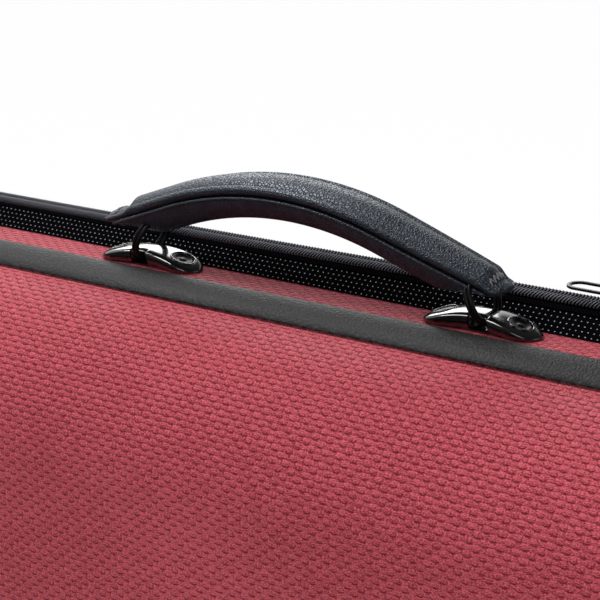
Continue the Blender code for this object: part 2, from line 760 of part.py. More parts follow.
def bed(profile):
    """The padded floor of the base and the four blocks round the violin, one of them with the pocket."""
    floor = seam(BASE, BED_FLOOR_DEPTH)
    block_top = seam(BASE, BED_DROP)
    above = seam(BASE, BED_DROP / 2)
    below = seam(BASE, BED_FLOOR_DEPTH + BED_FLOOR / 2)
    base_floor = filled("bed_floor", profile, WALL + CLEARANCE, BED_DROP, BASE, VELVET)
    combine(base_floor, block("bed_room", (-CASE_END, floor, 0), (CASE_END, above, WALL_Z)))
    upright = Matrix.Translation((0, (below + above) / 2, MIDDLE_Z)) @ Matrix.Rotation(math.pi / 2, 4, "X")
    body_cut = flat_outline("body_cut", [violin_outline()], above - below, upright, smooth=4)
    neck_half = NECK_WIDTH / 2
    neck_cut = block(
        "neck_cut", (NECK_END - PEGBOX_LENGTH / 2, below, MIDDLE_Z - neck_half),
        (BODY_TAIL - BODY_LENGTH * 0.9, above, MIDDLE_Z + neck_half),
    )
    peg_half = PEGBOX_WIDTH / 2
    pegbox_cut = block(
        "pegbox_cut", (NECK_END - PEGBOX_LENGTH, below, MIDDLE_Z - peg_half),
        (NECK_END, above, MIDDLE_Z + peg_half),
    )
    pocket_x = NECK_END + POCKET_LENGTH * 0.25
    pocket_z = WALL_Z - POCKET_INSET - POCKET_WIDTH / 2
    pocket_cut = block(
        "pocket_cut", (pocket_x - POCKET_LENGTH / 2, block_top - POCKET_DEPTH, pocket_z - POCKET_WIDTH / 2),
        (pocket_x + POCKET_LENGTH / 2, above, pocket_z + POCKET_WIDTH / 2),
    )
    halves = {
        "upper": (MIDDLE_Z + CLEARANCE / 2, WALL_Z),
        "lower": (SPINE_Z, MIDDLE_Z - CLEARANCE / 2),
    }
    stretches = {
        "head_block": (-CASE_END, BODY_TOP - CLEARANCE / 2, [neck_cut, pegbox_cut]),
        "bout_block": (BODY_TOP + CLEARANCE / 2, CASE_END, [neck_cut, body_cut]),
    }
    for half, (z_low, z_high) in halves.items():
        for stretch, (x_low, x_high, cuts) in stretches.items():
            name = f"{stretch}_{half}"
            obj = filled(name, profile, WALL + CLEARANCE, BED_DROP, BASE, VELVET)
            share = block(f"{name}_share", (x_low, floor + CLEARANCE, z_low), (x_high, above, z_high))
            combine(obj, share, "INTERSECT")
            for cut in cuts:
                combine(obj, cut)
    combine(bpy.data.objects["head_block_upper"], pocket_cut)
    pocket_flap(pocket_x, pocket_z, block_top)
    bed_pads(floor, block_top)


def pocket_flap(x, z, block_top):
    """The pocket's flap, turning on its edge next to the handle wall, with a pull loop."""
    half_x = POCKET_LENGTH / 2 + FLAP_MARGIN
    half_z = POCKET_WIDTH / 2 + FLAP_MARGIN
    low = block_top + CLEARANCE
    edge = FLAP_THICKNESS * 0.2
    flap = block(
        "pocket_flap", (x - half_x, low, z - half_z),
        (x + half_x, low + FLAP_THICKNESS, z + half_z + edge), VELVET,
    )
    loop_low = low + FLAP_THICKNESS + CLEARANCE
    loop = block(
        "pocket_pull_loop", (x - FLAP_MARGIN, loop_low, z - half_z),
        (x + FLAP_MARGIN, loop_low + STRAP_THICKNESS, z - half_z + 3 * FLAP_MARGIN),
        LEATHER, rounding=STRAP_ROUNDING,
    )
    pivot("pocket_flap_pivot", (x, low + FLAP_THICKNESS / 2, z + half_z), [flap, loop])


def bed_pads(floor, block_top):
    """Crowned pads that carry the violin's back at both ends, the neck rest and its open strap."""
    pads = (
        ("lower_pad", BODY_TAIL - BODY_LENGTH * 0.15, LOWER_PAD, LOWER_BOUT * 0.30),
        ("upper_pad", BODY_TAIL - BODY_LENGTH * 0.86, UPPER_PAD, UPPER_BOUT * 0.28),
    )
    for name, x, length, half_z in pads:
        low = floor + CLEARANCE
        rows = []
        for share, height in ((1.0, 0.0), (1.0, 0.55), (0.86, 0.86), (0.55, 1.0)):
            across = length / 2 * share
            up = half_z * (1 - (1 - share) * 0.5)
            y = low + PAD_HEIGHT * height
            rows.append([
                (x + across * math.cos(a), y, MIDDLE_Z + up * math.sin(a))
                for a in (2 * math.pi * step / 20 for step in range(20))
            ])
        loft(name, rows, VELVET)
    rest_x = (BODY_TOP + NECK_END) / 2
    half = NECK_WIDTH / 2 - CLEARANCE
    rest_top = floor + CLEARANCE + NECK_REST_HEIGHT
    rest = block(
        "neck_rest", (rest_x - NECK_REST_LENGTH / 2, floor + CLEARANCE, MIDDLE_Z - half),
        (rest_x + NECK_REST_LENGTH / 2, rest_top, MIDDLE_Z + half), VELVET,
    )
    combine(rest, cylinder(
        "neck_hollow", (rest_x, rest_top, MIDDLE_Z), (1, 0, 0), NECK_RADIUS, NECK_REST_LENGTH * 2,
    ))
    strap_z = MIDDLE_Z - NECK_WIDTH / 2 - CLEARANCE
    block(
        "neck_strap", (rest_x - STRAP_WIDTH / 2, block_top + CLEARANCE, strap_z - STRAP_LENGTH),
        (rest_x + STRAP_WIDTH / 2, block_top + CLEARANCE + STRAP_THICKNESS, strap_z),
        LEATHER, rounding=STRAP_ROUNDING,
    )


def bow_holders():
    """Turn buttons on posts for the bows' frogs, and sleeves for their tips; returns the fixed parts."""
    floor = seam(LID, LID_FLOOR_DEPTH) - CLEARANCE
    fixed = []
    for label, sign in (("upper", 1), ("lower", -1)):
        z = MIDDLE_Z + sign * BOW_SPREAD
        post_end = floor - BOW_POST_HEIGHT
        post = cylinder(
            f"bow_post_{label}", (BOW_POST_X, (floor + post_end) / 2, z), (0, 1, 0), BOW_POST_RADIUS,
            BOW_POST_HEIGHT, BLACK_NYLON,
        )
        half = BOW_TURN_WIDTH / 2
        reach = BOW_TURN_LENGTH / 2
        arc = [(reach - half + half * math.cos(a), half * math.sin(a))
               for a in (math.pi * (step / 6 - 0.5) for step in range(7))]
        outline = arc + [(-a, -b) for a, b in arc]
        middle = post_end - CLEARANCE - BOW_TURN_THICKNESS / 2
        turn = flat_outline(
            f"bow_turn_{label}", [outline], BOW_TURN_THICKNESS,
            Matrix.Translation((BOW_POST_X, middle, z)) @ Matrix.Rotation(math.pi / 2, 4, "X"),
            BLACK_NYLON,
        )
        rounded(turn, BOW_TURN_THICKNESS * 0.25)
        pivot(f"bow_turn_{label}_pivot", (BOW_POST_X, middle, z), [turn])
        fixed += [post, bow_sleeve(f"bow_sleeve_{label}", z, floor)]
    return fixed


def bow_sleeve(name, z, floor):
    """A half-round sleeve on the lid's lining."""
    angles = [math.pi * step / 10 for step in range(11)]
    outer = [(-SLEEVE_RADIUS * math.sin(a), SLEEVE_RADIUS * math.cos(a)) for a in angles]
    bore = 1 - SLEEVE_WALL / SLEEVE_RADIUS
    inner = [(y * bore, w * bore) for y, w in outer]
    ends = (SLEEVE_X - SLEEVE_LENGTH / 2, SLEEVE_X + SLEEVE_LENGTH / 2)
    rows = [[(x, floor + y, z + w) for y, w in outer + inner[::-1]] for x in ends]
    return loft(name, rows, VELVET)


def main():
    base_profile = shell_profile(BASE_RIM, BASE_SHOULDER)
    lid_profile = shell_profile(LID_RIM, LID_SHOULDER)
    tray("base_shell", base_profile, 0.0, WALL, BASE, RED_FABRIC)
    trim("base_trim", BASE_RIM, BASE, RUBBER)
    zip_half("base", BASE)
    bed(base_profile)
    handle()
    lid_parts = [
        tray("lid_shell", lid_profile, 0.0, WALL, LID, RED_FABRIC),
        tray("lid_lining", lid_profile, WALL + CLEARANCE, WALL + CLEARANCE + LINING, LID, VELVET),
        trim("lid_trim", LID_RIM, LID, RUBBER),
        *zip_half("lid", LID),
        *bow_holders(),
    ]
    base_envelope = filled("base_envelope", base_profile, -CLEARANCE, 0.0, BASE)
    lid_envelope = filled("lid_envelope", lid_profile, -CLEARANCE, 0.0, LID)
    for label, sign in (("left", -1), ("right", 1)):
        foot_x = sign * (CASE_END - FOOT_INSET)
        foot(f"base_foot_{label}", foot_x, BASE, BASE_RIM, BASE_FOOT, base_envelope)
        lid_parts.append(foot(f"lid_foot_{label}", foot_x, LID, LID_RIM, LID_FOOT, lid_envelope))
        lid_parts.append(hinge(label, sign * (CASE_END - HINGE_INSET)))
    pivot("lid_pivot", (0, SEAM_Y, HINGE_Z), lid_parts)
    for label, x, facing in (("left", SLIDER_X[0], -1), ("right", SLIDER_X[1], 1)):
        zip_slider(label, x, facing)


RED_FABRIC = ((0.33, 0.05, 0.07), 0.75)
RUBBER = ((0.09, 0.085, 0.09), 0.65)
BLACK_FABRIC = ((0.012, 0.012, 0.013), 0.85)
BLACK_NYLON = ((0.010, 0.010, 0.011), 0.45)
BLACK_GLOSS = ((0.008, 0.008, 0.009), 0.18, 0.3)
DARK_METAL = ((0.03, 0.03, 0.032), 0.3, 0.9)
STEEL = ((0.45, 0.45, 0.46), 0.3, 1.0)
SPRING_STEEL = ((0.30, 0.30, 0.32), 0.35, 1.0)
LEATHER = ((0.030, 0.031, 0.036), 0.55)
VELVET = ((0.055, 0.052, 0.055), 0.95)

clear_scene()
PARTS = new_collection("ViolinCase")
CUTTERS = new_collection("Cutters")
main()
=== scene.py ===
"""Looks of an oblong zip-up violin case: woven covers, rubber edging, coil zip, leather handle and plush inside.

X runs along the case, +Y points from the base shell to the lid and +Z points up to the handle. Sizes are in metres.
"""

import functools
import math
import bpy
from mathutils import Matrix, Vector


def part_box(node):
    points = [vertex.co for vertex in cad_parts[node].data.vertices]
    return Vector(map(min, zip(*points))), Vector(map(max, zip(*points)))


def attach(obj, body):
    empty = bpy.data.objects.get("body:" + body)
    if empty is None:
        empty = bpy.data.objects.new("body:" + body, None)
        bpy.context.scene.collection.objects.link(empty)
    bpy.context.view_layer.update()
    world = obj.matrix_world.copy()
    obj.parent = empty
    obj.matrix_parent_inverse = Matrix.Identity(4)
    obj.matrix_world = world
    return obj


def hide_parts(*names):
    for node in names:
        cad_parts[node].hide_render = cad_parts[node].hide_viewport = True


bl_info = {
    "name": "Violin Case Looks",
    "version": (1, 0, 0),
    "blender": (4, 5, 0),
    "location": "3D View > Sidebar > Violin Case",
    "description": "Woven covers, rubber edging, coil zip, leather handle and plush inside of a violin case",
    "category": "Object",
}

import bmesh
import bpy
import numpy as np
from bpy.props import FloatProperty, FloatVectorProperty, PointerProperty
from mathutils import Matrix, Vector

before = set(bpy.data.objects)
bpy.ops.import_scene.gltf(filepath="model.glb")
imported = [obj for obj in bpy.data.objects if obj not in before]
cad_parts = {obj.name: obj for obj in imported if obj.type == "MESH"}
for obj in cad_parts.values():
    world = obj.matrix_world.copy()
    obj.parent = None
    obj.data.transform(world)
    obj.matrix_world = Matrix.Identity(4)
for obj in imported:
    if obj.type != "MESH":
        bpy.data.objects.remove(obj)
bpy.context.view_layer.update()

# Places read from the packed model
BASE_LOW, BASE_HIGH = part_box("base_shell")
LID_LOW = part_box("lid_shell")[0]
RING_LOW, RING_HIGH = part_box("handle_ring_right")
HALF_LENGTH = BASE_HIGH.x
SPINE_Z = BASE_LOW.z
WALL_Z = BASE_HIGH.z
MIDDLE_Z = (SPINE_Z + WALL_Z) / 2
HALF_WIDTH = (WALL_Z - SPINE_Z) / 2
SEAM_GAP = LID_LOW.y - BASE_HIGH.y
SEAM_Y = (LID_LOW.y + BASE_HIGH.y) / 2
BRACKET_X = (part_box("handle_bracket_right")[0].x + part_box("handle_bracket_right")[1].x) / 2
BRACKET_Y = (RING_LOW.y + RING_HIGH.y) / 2
RING_Z = (RING_LOW.z + RING_HIGH.z) / 2
ARCH_TOP_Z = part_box("handle_panel")[1].z

# Sizes, most of them as in the part's source
BASE, LID = -1, 1
CLEARANCE = 0.0003
WALL = 0.0045
CORNER_RADIUS = 0.070
RAMP_DEPTH = 0.0120
RAMP_DROP = 0.0045
SHOULDER_START = math.radians(10)
BASE_RIM, BASE_SHOULDER = 0.0285, 0.050
LID_RIM, LID_SHOULDER = 0.0140, 0.037
SHELLS = (("base", BASE, BASE_RIM, BASE_SHOULDER), ("lid", LID, LID_RIM, LID_SHOULDER))
LINING = 0.005
LINING_RIM = 0.0006
BAND_FOOT = 0.0136
BAND_TOP_DEPTH = 0.0050
BAND_HEIGHT = 0.0050
BAND_BACK = 0.0034
COIL_RADIUS = 0.0014
COIL_HEIGHT = 0.0078
CORE_RADIUS = 0.00112
TAPE_THICKNESS = 0.0009
ZIP_LOW, ZIP_HIGH = -0.0012, 0.0003
ZIP_DIP_X = -0.16
ZIP_RUN_UP = 0.30
SLIDER_LENGTH = 0.014
SLIDER_REACH = 0.0046
SLIDER_WALL = 0.0014
SLIDER_BEND = 0.0011
BRIDGE_RADIUS = 0.0030
BRIDGE_WIRE = 0.0008
PULL_LENGTH = 0.030
PULL_WIDTH = 0.0084
PULL_THICKNESS = 0.0014
PULL_BEVEL = 0.00025
PULL_CORNER = 0.0008
BRACKET_HALF = 0.0205
BRACKET_WIDE = 0.0068
BRACKET_HEIGHT = 0.0060
BRACKET_TIP = 0.0006
BRACKET_ROUND = 0.0008
BRACKET_CROWN = 0.0006
BRACKET_PLATE = 0.0004
BRACKET_THIN = 0.0002
BRACKET_UNDERCUT = 0.25
MOUTH_PLACE = 0.0014
MOUTH_HALF = 0.0034
MOUTH_KEEL = 0.0049
RECESS_RADIUS = 0.0041
RECESS_PLACE = 0.0135
RECESS_DEPTH = 0.0010
RECESS_SLOPE = 0.0005
SADDLE_RADIUS = 0.0059
RING_RADIUS = 0.0080
RING_WIRE = 0.0011
RING_LEAN = math.radians(22)
HANDLE_LENGTH = 0.158
HANDLE_RADIUS = 0.1275
HANDLE_BEND = math.radians(18.6)
BEND_X = HANDLE_RADIUS * math.sin(HANDLE_BEND)
HANDLE_WIDTH = 0.0180
HANDLE_TIP_WIDTH = 0.0116
HANDLE_PANEL = 0.0052
PANEL_CROWN = 0.0007
TAB_STEP = 0.005
GRIP_CORNER = 0.003
PANEL_TOP = [
    (-0.62, -0.0016), (-0.48, -0.0006), (-0.25, 0.0003), (0.0, PANEL_CROWN), (0.26, 0.0006), (0.50, 0.0002),
    (0.64, -0.0004),
]
SLEEVE_RADIUS = 0.013
SLEEVE_WALL = 0.002
SLEEVE_HEM = 0.0006
SLEEVE_SAG = 0.0008
PAD_INSET = 0.0016
PAD_ROOM = 0.0012
PAD_SEAT = 0.0001
PAD_RISE = 0.002
FLAP_EDGE = 0.0009
STRAP_EDGE = 0.0004
STRAP_SEAM = 0.0025
STITCH_LENGTH = 0.0024
STITCH_PITCH = 0.0036

# Fineness of the meshes and of the pads' simulation
CORNER_STEPS = 20
SHOULDER_STEPS = 26
ARCH_STEPS = 150
ZIP_STEPS = 260
PAD_VOXEL = 0.004
BED_VOXEL = 0.0028
CLOTH_FRAMES = 20


# Mesh helpers


def quads(rows, columns, loop):
    """Corners of the faces between rings of points. Loop joins the last ring to the first."""
    i, j = np.meshgrid(np.arange(rows if loop else rows - 1), np.arange(columns), indexing="ij")
    i_next, j_next = (i + 1) % rows, (j + 1) % columns
    corners = (i * columns + j, i * columns + j_next, i_next * columns + j_next, i_next * columns + j)
    return np.stack(corners, -1).reshape(-1, 4)


def surface(name, rings, uv=None, loop=False):
    """A closed mesh through rings of points, with caps unless the last ring joins the first."""
    points = np.asarray(rings, float)
    rows, columns = points.shape[:2]
    faces = quads(rows, columns, loop).tolist()
    if not loop:
        faces.append(list(range(columns))[::-1])
        faces.append(list(range((rows - 1) * columns, rows * columns)))
    mesh = bpy.data.meshes.new(name)
    mesh.from_pydata(points.reshape(-1, 3).tolist(), [], faces)
    if uv is not None:
        layer = mesh.uv_layers.new(name="Unfolded")
        index = np.empty(len(mesh.loops), np.int32)
        mesh.loops.foreach_get("vertex_index", index)
        layer.data.foreach_set("uv", np.asarray(uv, np.float32).reshape(-1, 2)[index].ravel())
    return turned_outward(mesh)


def turned_outward(mesh, weld=0.0):
    """The mesh with its faces turned outward and points closer than the weld joined."""
    bm = bmesh.new()
    bm.from_mesh(mesh)
    if weld:
        bmesh.ops.remove_doubles(bm, verts=bm.verts, dist=weld)
    bmesh.ops.recalc_face_normals(bm, faces=bm.faces)
    bm.to_mesh(mesh)
    bm.free()
    return mesh


def joined(name, meshes):
    """Several meshes as one."""
    bm = bmesh.new()
    for mesh in meshes:
        bm.from_mesh(mesh)
    whole = bpy.data.meshes.new(name)
    bm.to_mesh(whole)
    bm.free()
    for mesh in meshes:
        bpy.data.meshes.remove(mesh)
    return whole


def placed(name, data):
    """A new object in the scene."""
    obj = bpy.data.objects.new(name, data)
    bpy.context.scene.collection.objects.link(obj)
    return obj


def applied(obj, name):
    """The mesh of an object with its modifiers applied. The object is removed."""
    bpy.context.view_layer.update()
    graph = bpy.context.evaluated_depsgraph_get()
    mesh = bpy.data.meshes.new_from_object(obj.evaluated_get(graph))
    mesh.name = name
    bpy.data.objects.remove(obj)
    return mesh


def add_remesh(obj, voxel):
    """A modifier that rebuilds an object's mesh as one even skin."""
    remesh = obj.modifiers.new("remesh", "REMESH")
    remesh.mode = "VOXEL"
    remesh.voxel_size = voxel


def piece(mesh, material, body, nodes, sharp=50):
    """An object with its mesh's name that rides on a body and stands for CAD nodes."""
    obj = placed(mesh.name, mesh)
    mesh.materials.append(material)
    mesh.shade_smooth()
    mesh.set_sharp_from_angle(angle=math.radians(sharp))
    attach(obj, body)
    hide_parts(*nodes)
    return obj


def smooth_line(points, per=4):
    """A smooth open line through points."""
    points = np.asarray(points, float)
    padded = np.vstack([2 * points[0] - points[1], points, 2 * points[-1] - points[-2]])
    line = []
    for before, start, end, after in zip(padded, padded[1:], padded[2:], padded[3:]):
        for step in range(per):
            t = step / per
            line.append(0.5 * (
                2 * start + (end - before) * t + (2 * before - 5 * start + 4 * end - after) * t**2
                + (3 * start - before - 3 * end + after) * t**3
            ))
    line.append(points[-1])
    return np.array(line)


def arc(middle, radius, start, end, steps):
    """Points of a plane arc between two angles."""
    turns = np.linspace(start, end, steps + 1)
    return np.array(middle) + radius * np.stack([np.cos(turns), np.sin(turns)], -1)


def full_turn(count):
    return np.linspace(0, 2 * math.pi, count, endpoint=False)


def circle(first, second, count):
    """Points of a circle of radius 1 in the plane of two directions."""
    turns = full_turn(count)[:, None]
    return np.cos(turns) * first + np.sin(turns) * second


def tube(name, line, radius, sides=10, loop=False):
    """A round tube along a line of points, of one radius or of one for each point."""
    line = np.asarray(line, float)
    along = np.roll(line, -1, 0) - np.roll(line, 1, 0) if loop else np.gradient(line, axis=0)
    along /= np.linalg.norm(along, axis=1)[:, None]
    side = np.array(Vector(along[0]).orthogonal().normalized())
    rows = []
    for point, direction, reach in zip(line, along, np.broadcast_to(radius, len(line))):
        side = side - direction * side.dot(direction)
        side = side / np.linalg.norm(side)
        rows.append(point + reach * circle(side, np.cross(direction, side), sides))
    return surface(name, rows, loop=loop)


def stitch(start, end, wire):
    """A short thread that dips at both ends."""
    start, end = np.array(start), np.array(end)
    shares = np.array((0.0, 0.04, 0.14, 0.5, 0.86, 0.96, 1.0))[:, None]
    swell = np.array((0.25, 0.7, 1.0, 1.0, 1.0, 0.7, 0.25))
    return tube("stitch", start + (end - start) * shares, wire * swell, 8)


def soft_step(value):
    """A smooth step from 0 to 1."""
    value = np.clip(value, 0.0, 1.0)
    return value * value * (3 - 2 * value)


# The case's own lines


def seam(side, depth):
    """The Y of a depth measured from the seam into the base or the lid."""
    return SEAM_Y + side * (SEAM_GAP / 2 + depth)


def outline(inset):
    """Points (x, z) and outward directions of the case's rounded outline, drawn in by an inset."""
    radius = max(CORNER_RADIUS - inset, CORNER_RADIUS / 20)
    straight = np.array((HALF_LENGTH, HALF_WIDTH)) - inset - radius
    quarter = math.pi / 2
    normals = np.concatenate([arc((0, 0), 1.0, k * quarter, (k + 1) * quarter, CORNER_STEPS) for k in range(4)])
    corners = np.repeat([(1, 1), (-1, 1), (-1, -1), (1, -1)], CORNER_STEPS + 1, axis=0)
    return (0, MIDDLE_Z) + corners * straight + radius * normals, normals


def shell_profile(rim, shoulder, groove=0.0):
    """Inset and depth from the rim over the edging's ramp and the round shoulder to the flat face."""
    side = [(0.0, 0.0), (0.0, rim * 0.5), (0.0, rim)]
    middle = (
        RAMP_DROP + shoulder * math.cos(SHOULDER_START), rim + RAMP_DEPTH - shoulder * math.sin(SHOULDER_START),
    )
    curve = arc(middle, shoulder, math.pi - SHOULDER_START, math.pi / 2, SHOULDER_STEPS)
    if groove:
        side += [
            (RAMP_DROP * 0.86, rim + RAMP_DEPTH * 0.86), (RAMP_DROP * 0.98 + groove, rim + RAMP_DEPTH * 0.93),
            (RAMP_DROP + groove * 0.9, rim + RAMP_DEPTH + 0.0002),
        ]
        curve[0] += (0.0002, 0.0006)
    return [*side, *curve]


def offset_profile(profile, distance):
    """The profile moved inwards by a distance, square to itself."""
    moved = []
    last = len(profile) - 1
    for i, (inset, depth) in enumerate(profile):
        here = Vector((inset, depth))
        arriving = (here - Vector(profile[i - 1])).normalized() if i else Vector((0, 1))
        leaving = (Vector(profile[i + 1]) - here).normalized() if i < last else Vector((1, 0))
        along = (arriving + leaving).normalized()
        reach = distance / max(along.dot(arriving), 0.5)
        moved.append((inset + along.y * reach, depth - along.x * reach))
    moved[0] = (distance, 0.0)
    return moved


def tray(name, outer, inner, side):
    """A closed tray between two profiles. Its UVs are the skin unfolded onto the case's face, in metres."""
    rows, flat = [], []
    for profile in (outer[::-1], inner):
        depths = np.array(profile)
        lengths = np.concatenate([[0], np.cumsum(np.linalg.norm(np.diff(depths, axis=0), axis=1))])
        if profile is inner:
            lengths = lengths[-1] - lengths
        core, outward = outline(max(point[0] for point in profile))
        for (inset, depth), length in zip(profile, lengths):
            rows.append(np.insert(outline(inset)[0], 1, seam(side, depth), axis=1))
            flat.append(core + outward * length)
    return surface(name, rows, uv=flat)


def zip_path(lengths):
    """Points, outward directions and run directions (x, z) at lengths along the zip, from the left end's foot."""
    rise = 2 * (HALF_WIDTH - CORNER_RADIUS)
    bend = math.pi / 2 * CORNER_RADIUS
    top = 2 * (HALF_LENGTH - CORNER_RADIUS)
    turned = np.clip(lengths - rise, 0, bend) + np.clip(lengths - rise - bend - top, 0, bend)
    angle = math.pi - turned / CORNER_RADIUS
    outward = np.stack([np.cos(angle), np.sin(angle)], -1)
    across = np.clip(lengths - rise - bend, 0, top) - top / 2
    up = np.clip(lengths, 0, rise) - np.clip(lengths - rise - 2 * bend - top, 0, rise)
    places = np.stack([across, SPINE_Z + CORNER_RADIUS + up], -1) + CORNER_RADIUS * outward
    return places, outward, np.stack([outward[:, 1], -outward[:, 0]], -1)


def zip_length():
    """Length of the zip up one end, along the handle's wall and down the other end."""
    return 2 * (2 * (HALF_WIDTH - CORNER_RADIUS) + math.pi / 2 * CORNER_RADIUS + HALF_LENGTH - CORNER_RADIUS)


def zip_wave(x, height):
    """How far the soft upper part of the zip strays from its straight line: low on the left, high by the sliders."""
    share = np.clip((height - BAND_HEIGHT) / (COIL_HEIGHT - BAND_HEIGHT), 0.0, 1.0)
    return share * (ZIP_LOW + (ZIP_HIGH - ZIP_LOW) * soft_step((x - ZIP_DIP_X) / ZIP_RUN_UP))


def zip_strip(name, section, side):
    """A closed section of heights and depths, run along the zip. Its UVs are lengths along and round it."""
    section = np.asarray(section, float)
    lengths = np.linspace(0, zip_length(), ZIP_STEPS)
    places, outward, _ = zip_path(lengths)
    round_it = np.concatenate([[0], np.cumsum(np.linalg.norm(np.diff(section, axis=0), axis=1))])
    rows, flat = [], []
    for place, out, length in zip(places, outward, lengths):
        points = place + out * (section[:, :1] + zip_wave(place[0], section[:, :1]))
        rows.append(np.insert(points, 1, seam(side, section[:, 1]), axis=1))
        flat.append(np.stack([np.full(len(section), length), round_it], -1))
    return surface(name, rows, uv=flat)


# Finishes


class Nodes:
    """Short calls for a node tree."""

    def __init__(self, tree):
        self.tree = tree

    def put(self, socket, value):
        """Link a socket or set it. A colour may leave out its alpha."""
        if isinstance(value, bpy.types.NodeSocket):
            self.tree.links.new(value, socket)
        else:
            socket.default_value = (*value, 1.0) if socket.type == "RGBA" and len(value) == 3 else value

    def add(self, kind, values=None, **settings):
        made = self.tree.nodes.new("ShaderNode" + kind)
        for key, value in settings.items():
            setattr(made, key, value)
        for key, value in (values or {}).items():
            self.put(made.inputs[key], value)
        return made

    def math(self, operation, *values):
        return self.add("Math", dict(enumerate(values)), operation=operation).outputs[0]

    def scale(self, value, low, high, first, last, kind="LINEAR"):
        """Value taken from low..high to first..last."""
        ends = {0: value, 1: low, 2: high, 3: first, 4: last}
        return self.add("MapRange", ends, interpolation_type=kind).outputs[0]

    def smooth(self, value, low, high, first=0.0, last=1.0):
        """The same with soft ends."""
        return self.scale(value, low, high, first, last, "SMOOTHSTEP")

    def mix(self, share, first, second):
        return self.add("Mix", {0: share, 6: first, 7: second}, data_type="RGBA").outputs[2]

    def noise(self, place, scale, detail=2.0):
        return self.add("TexNoise", {"Vector": place, "Scale": scale, "Detail": detail}).outputs[0]

    def wave(self, place, scale, direction, distortion=0.0):
        values = {"Vector": place, "Scale": scale, "Distortion": distortion}
        return self.add("TexWave", values, bands_direction=direction).outputs[1]

    def stretched(self, place, scale):
        return self.add("Mapping", {"Vector": place, "Scale": scale}).outputs[0]

    def split(self, place):
        return self.add("SeparateXYZ", {0: place}).outputs

    def bump(self, height, distance, strength=1.0):
        return self.add("Bump", {"Height": height, "Distance": distance, "Strength": strength}).outputs[0]

    def object_place(self):
        return self.add("TexCoord").outputs["Object"]

    def unfolded_place(self):
        return self.add("UVMap", uv_map="Unfolded").outputs[0]


def node_group(outputs, **defaults):
    """Decorator: a function that works out masks from Place and other inputs becomes a shared node group."""

    def decorate(build):
        name = build.__name__.replace("_", " ").title()

        def tree():
            made = bpy.data.node_groups.new(name, "ShaderNodeTree")
            made.interface.new_socket(name="Place", in_out="INPUT", socket_type="NodeSocketVector")
            for label, default in defaults.items():
                socket = made.interface.new_socket(name=label, in_out="INPUT", socket_type="NodeSocketFloat")
                socket.default_value = default
            for label in outputs:
                made.interface.new_socket(name=label, in_out="OUTPUT", socket_type="NodeSocketFloat")
            source = made.nodes.new("NodeGroupInput").outputs
            target = made.nodes.new("NodeGroupOutput").inputs
            for label, socket in build(Nodes(made), source).items():
                made.links.new(socket, target[label])
            return made

        @functools.wraps(build)
        def use(nodes, **values):
            return nodes.add("Group", values, node_tree=bpy.data.node_groups.get(name) or tree()).outputs

        return use

    return decorate


@node_group(("Height", "Painted Shadow", "Tone And Painted Light"), Repeat=0.005, Row=0.002, Float=1.2, Rise=0.8)
def basket_weave(nodes, source):
    """Rows of lens-shaped floats along the case, with short upright yarns between their ends, and masks of painted
    shadow under each float and painted light on the floats' tops.
    """
    calc = nodes.math
    across, over = nodes.split(source["Place"])[:2]

    def cell(value, size):
        """The number of a cell and the place in it, from -1 to 1."""
        turns = calc("DIVIDE", value, size)
        number = calc("FLOOR", turns)
        return number, calc("MULTIPLY_ADD", calc("SUBTRACT", turns, number), 2.0, -1.0)

    def rounded(*losses):
        """Height of a round back that falls to nothing as the losses add up to one."""
        left = 1.0
        for loss in losses:
            left = calc("SUBTRACT", left, loss)
        return calc("SQRT", calc("MAXIMUM", left, 0.0))

    row, up = cell(over, source["Row"])
    column, along = cell(across, calc("MULTIPLY", source["Repeat"], 0.5))
    upright = calc("FLOORED_MODULO", calc("ADD", row, column), 2.0)
    side = calc("ABSOLUTE", along)
    past = calc("MULTIPLY", upright, calc("MULTIPLY_ADD", side, -2.0, 2.0))
    away = calc("DIVIDE", calc("ADD", side, past), source["Float"])
    lens = rounded(calc("POWER", away, 2.0), calc("POWER", calc("ABSOLUTE", up), 2.2))
    stem = rounded(calc("POWER", calc("MULTIPLY", side, 1.05), 2.0))
    dip = calc("POWER", calc("COSINE", calc("MULTIPLY", up, math.pi / 2)), 0.7)
    stalk = calc("MULTIPLY", calc("MULTIPLY", stem, dip), calc("MULTIPLY", upright, source["Rise"]))
    # Painted shadow: the top of each upright yarn is darkened where the float above it would shade it.
    shadow = calc("MULTIPLY", nodes.smooth(up, 0.40, 0.95), nodes.smooth(side, 0.9, 0.45))
    # Painted shade: the lower edge of each float is darkened as if it were lit from above.
    under = calc("MULTIPLY", nodes.smooth(lens, 0.60, 0.15), nodes.smooth(up, 0.0, -0.4))
    under = calc("MULTIPLY", under, nodes.smooth(away, 0.92, 0.58))
    is_lens = calc("GREATER_THAN", lens, stalk)
    nearest = calc("MULTIPLY", calc("SIGN", along), calc("MULTIPLY", upright, is_lens))
    spot = nodes.add("CombineXYZ", {0: calc("ADD", column, nearest), 1: row, 2: is_lens}).outputs[0]
    shade = nodes.add("TexWhiteNoise", {"Vector": spot}, noise_dimensions="3D").outputs[0]
    # The second output is painted shadow under the floats. The third is each yarn's random tone plus painted light:
    # the floats are lighter on their upper halves and darker on their lower halves.
    return {
        "Height": calc("MAXIMUM", lens, stalk),
        "Painted Shadow": calc("MAXIMUM", calc("MULTIPLY", shadow, upright), under),
        "Tone And Painted Light": calc("MULTIPLY_ADD", calc("MULTIPLY", up, is_lens), 0.8, shade),
    }


@node_group(("Height", "Crease", "Cloud"), Scale=900.0)
def leather_grain(nodes, source):
    """Small pressed pebbles with creases between them."""
    cloud = nodes.noise(source["Place"], 260.0)
    values = {"Vector": source["Place"], "Scale": source["Scale"], "Randomness": 0.9}
    edge = nodes.add("TexVoronoi", values, feature="DISTANCE_TO_EDGE").outputs["Distance"]
    pebble = nodes.smooth(edge, 0.0, 0.22)
    height = nodes.math("MULTIPLY_ADD", cloud, 0.45, pebble)
    return {"Height": height, "Crease": nodes.math("SUBTRACT", 1.0, pebble), "Cloud": cloud}


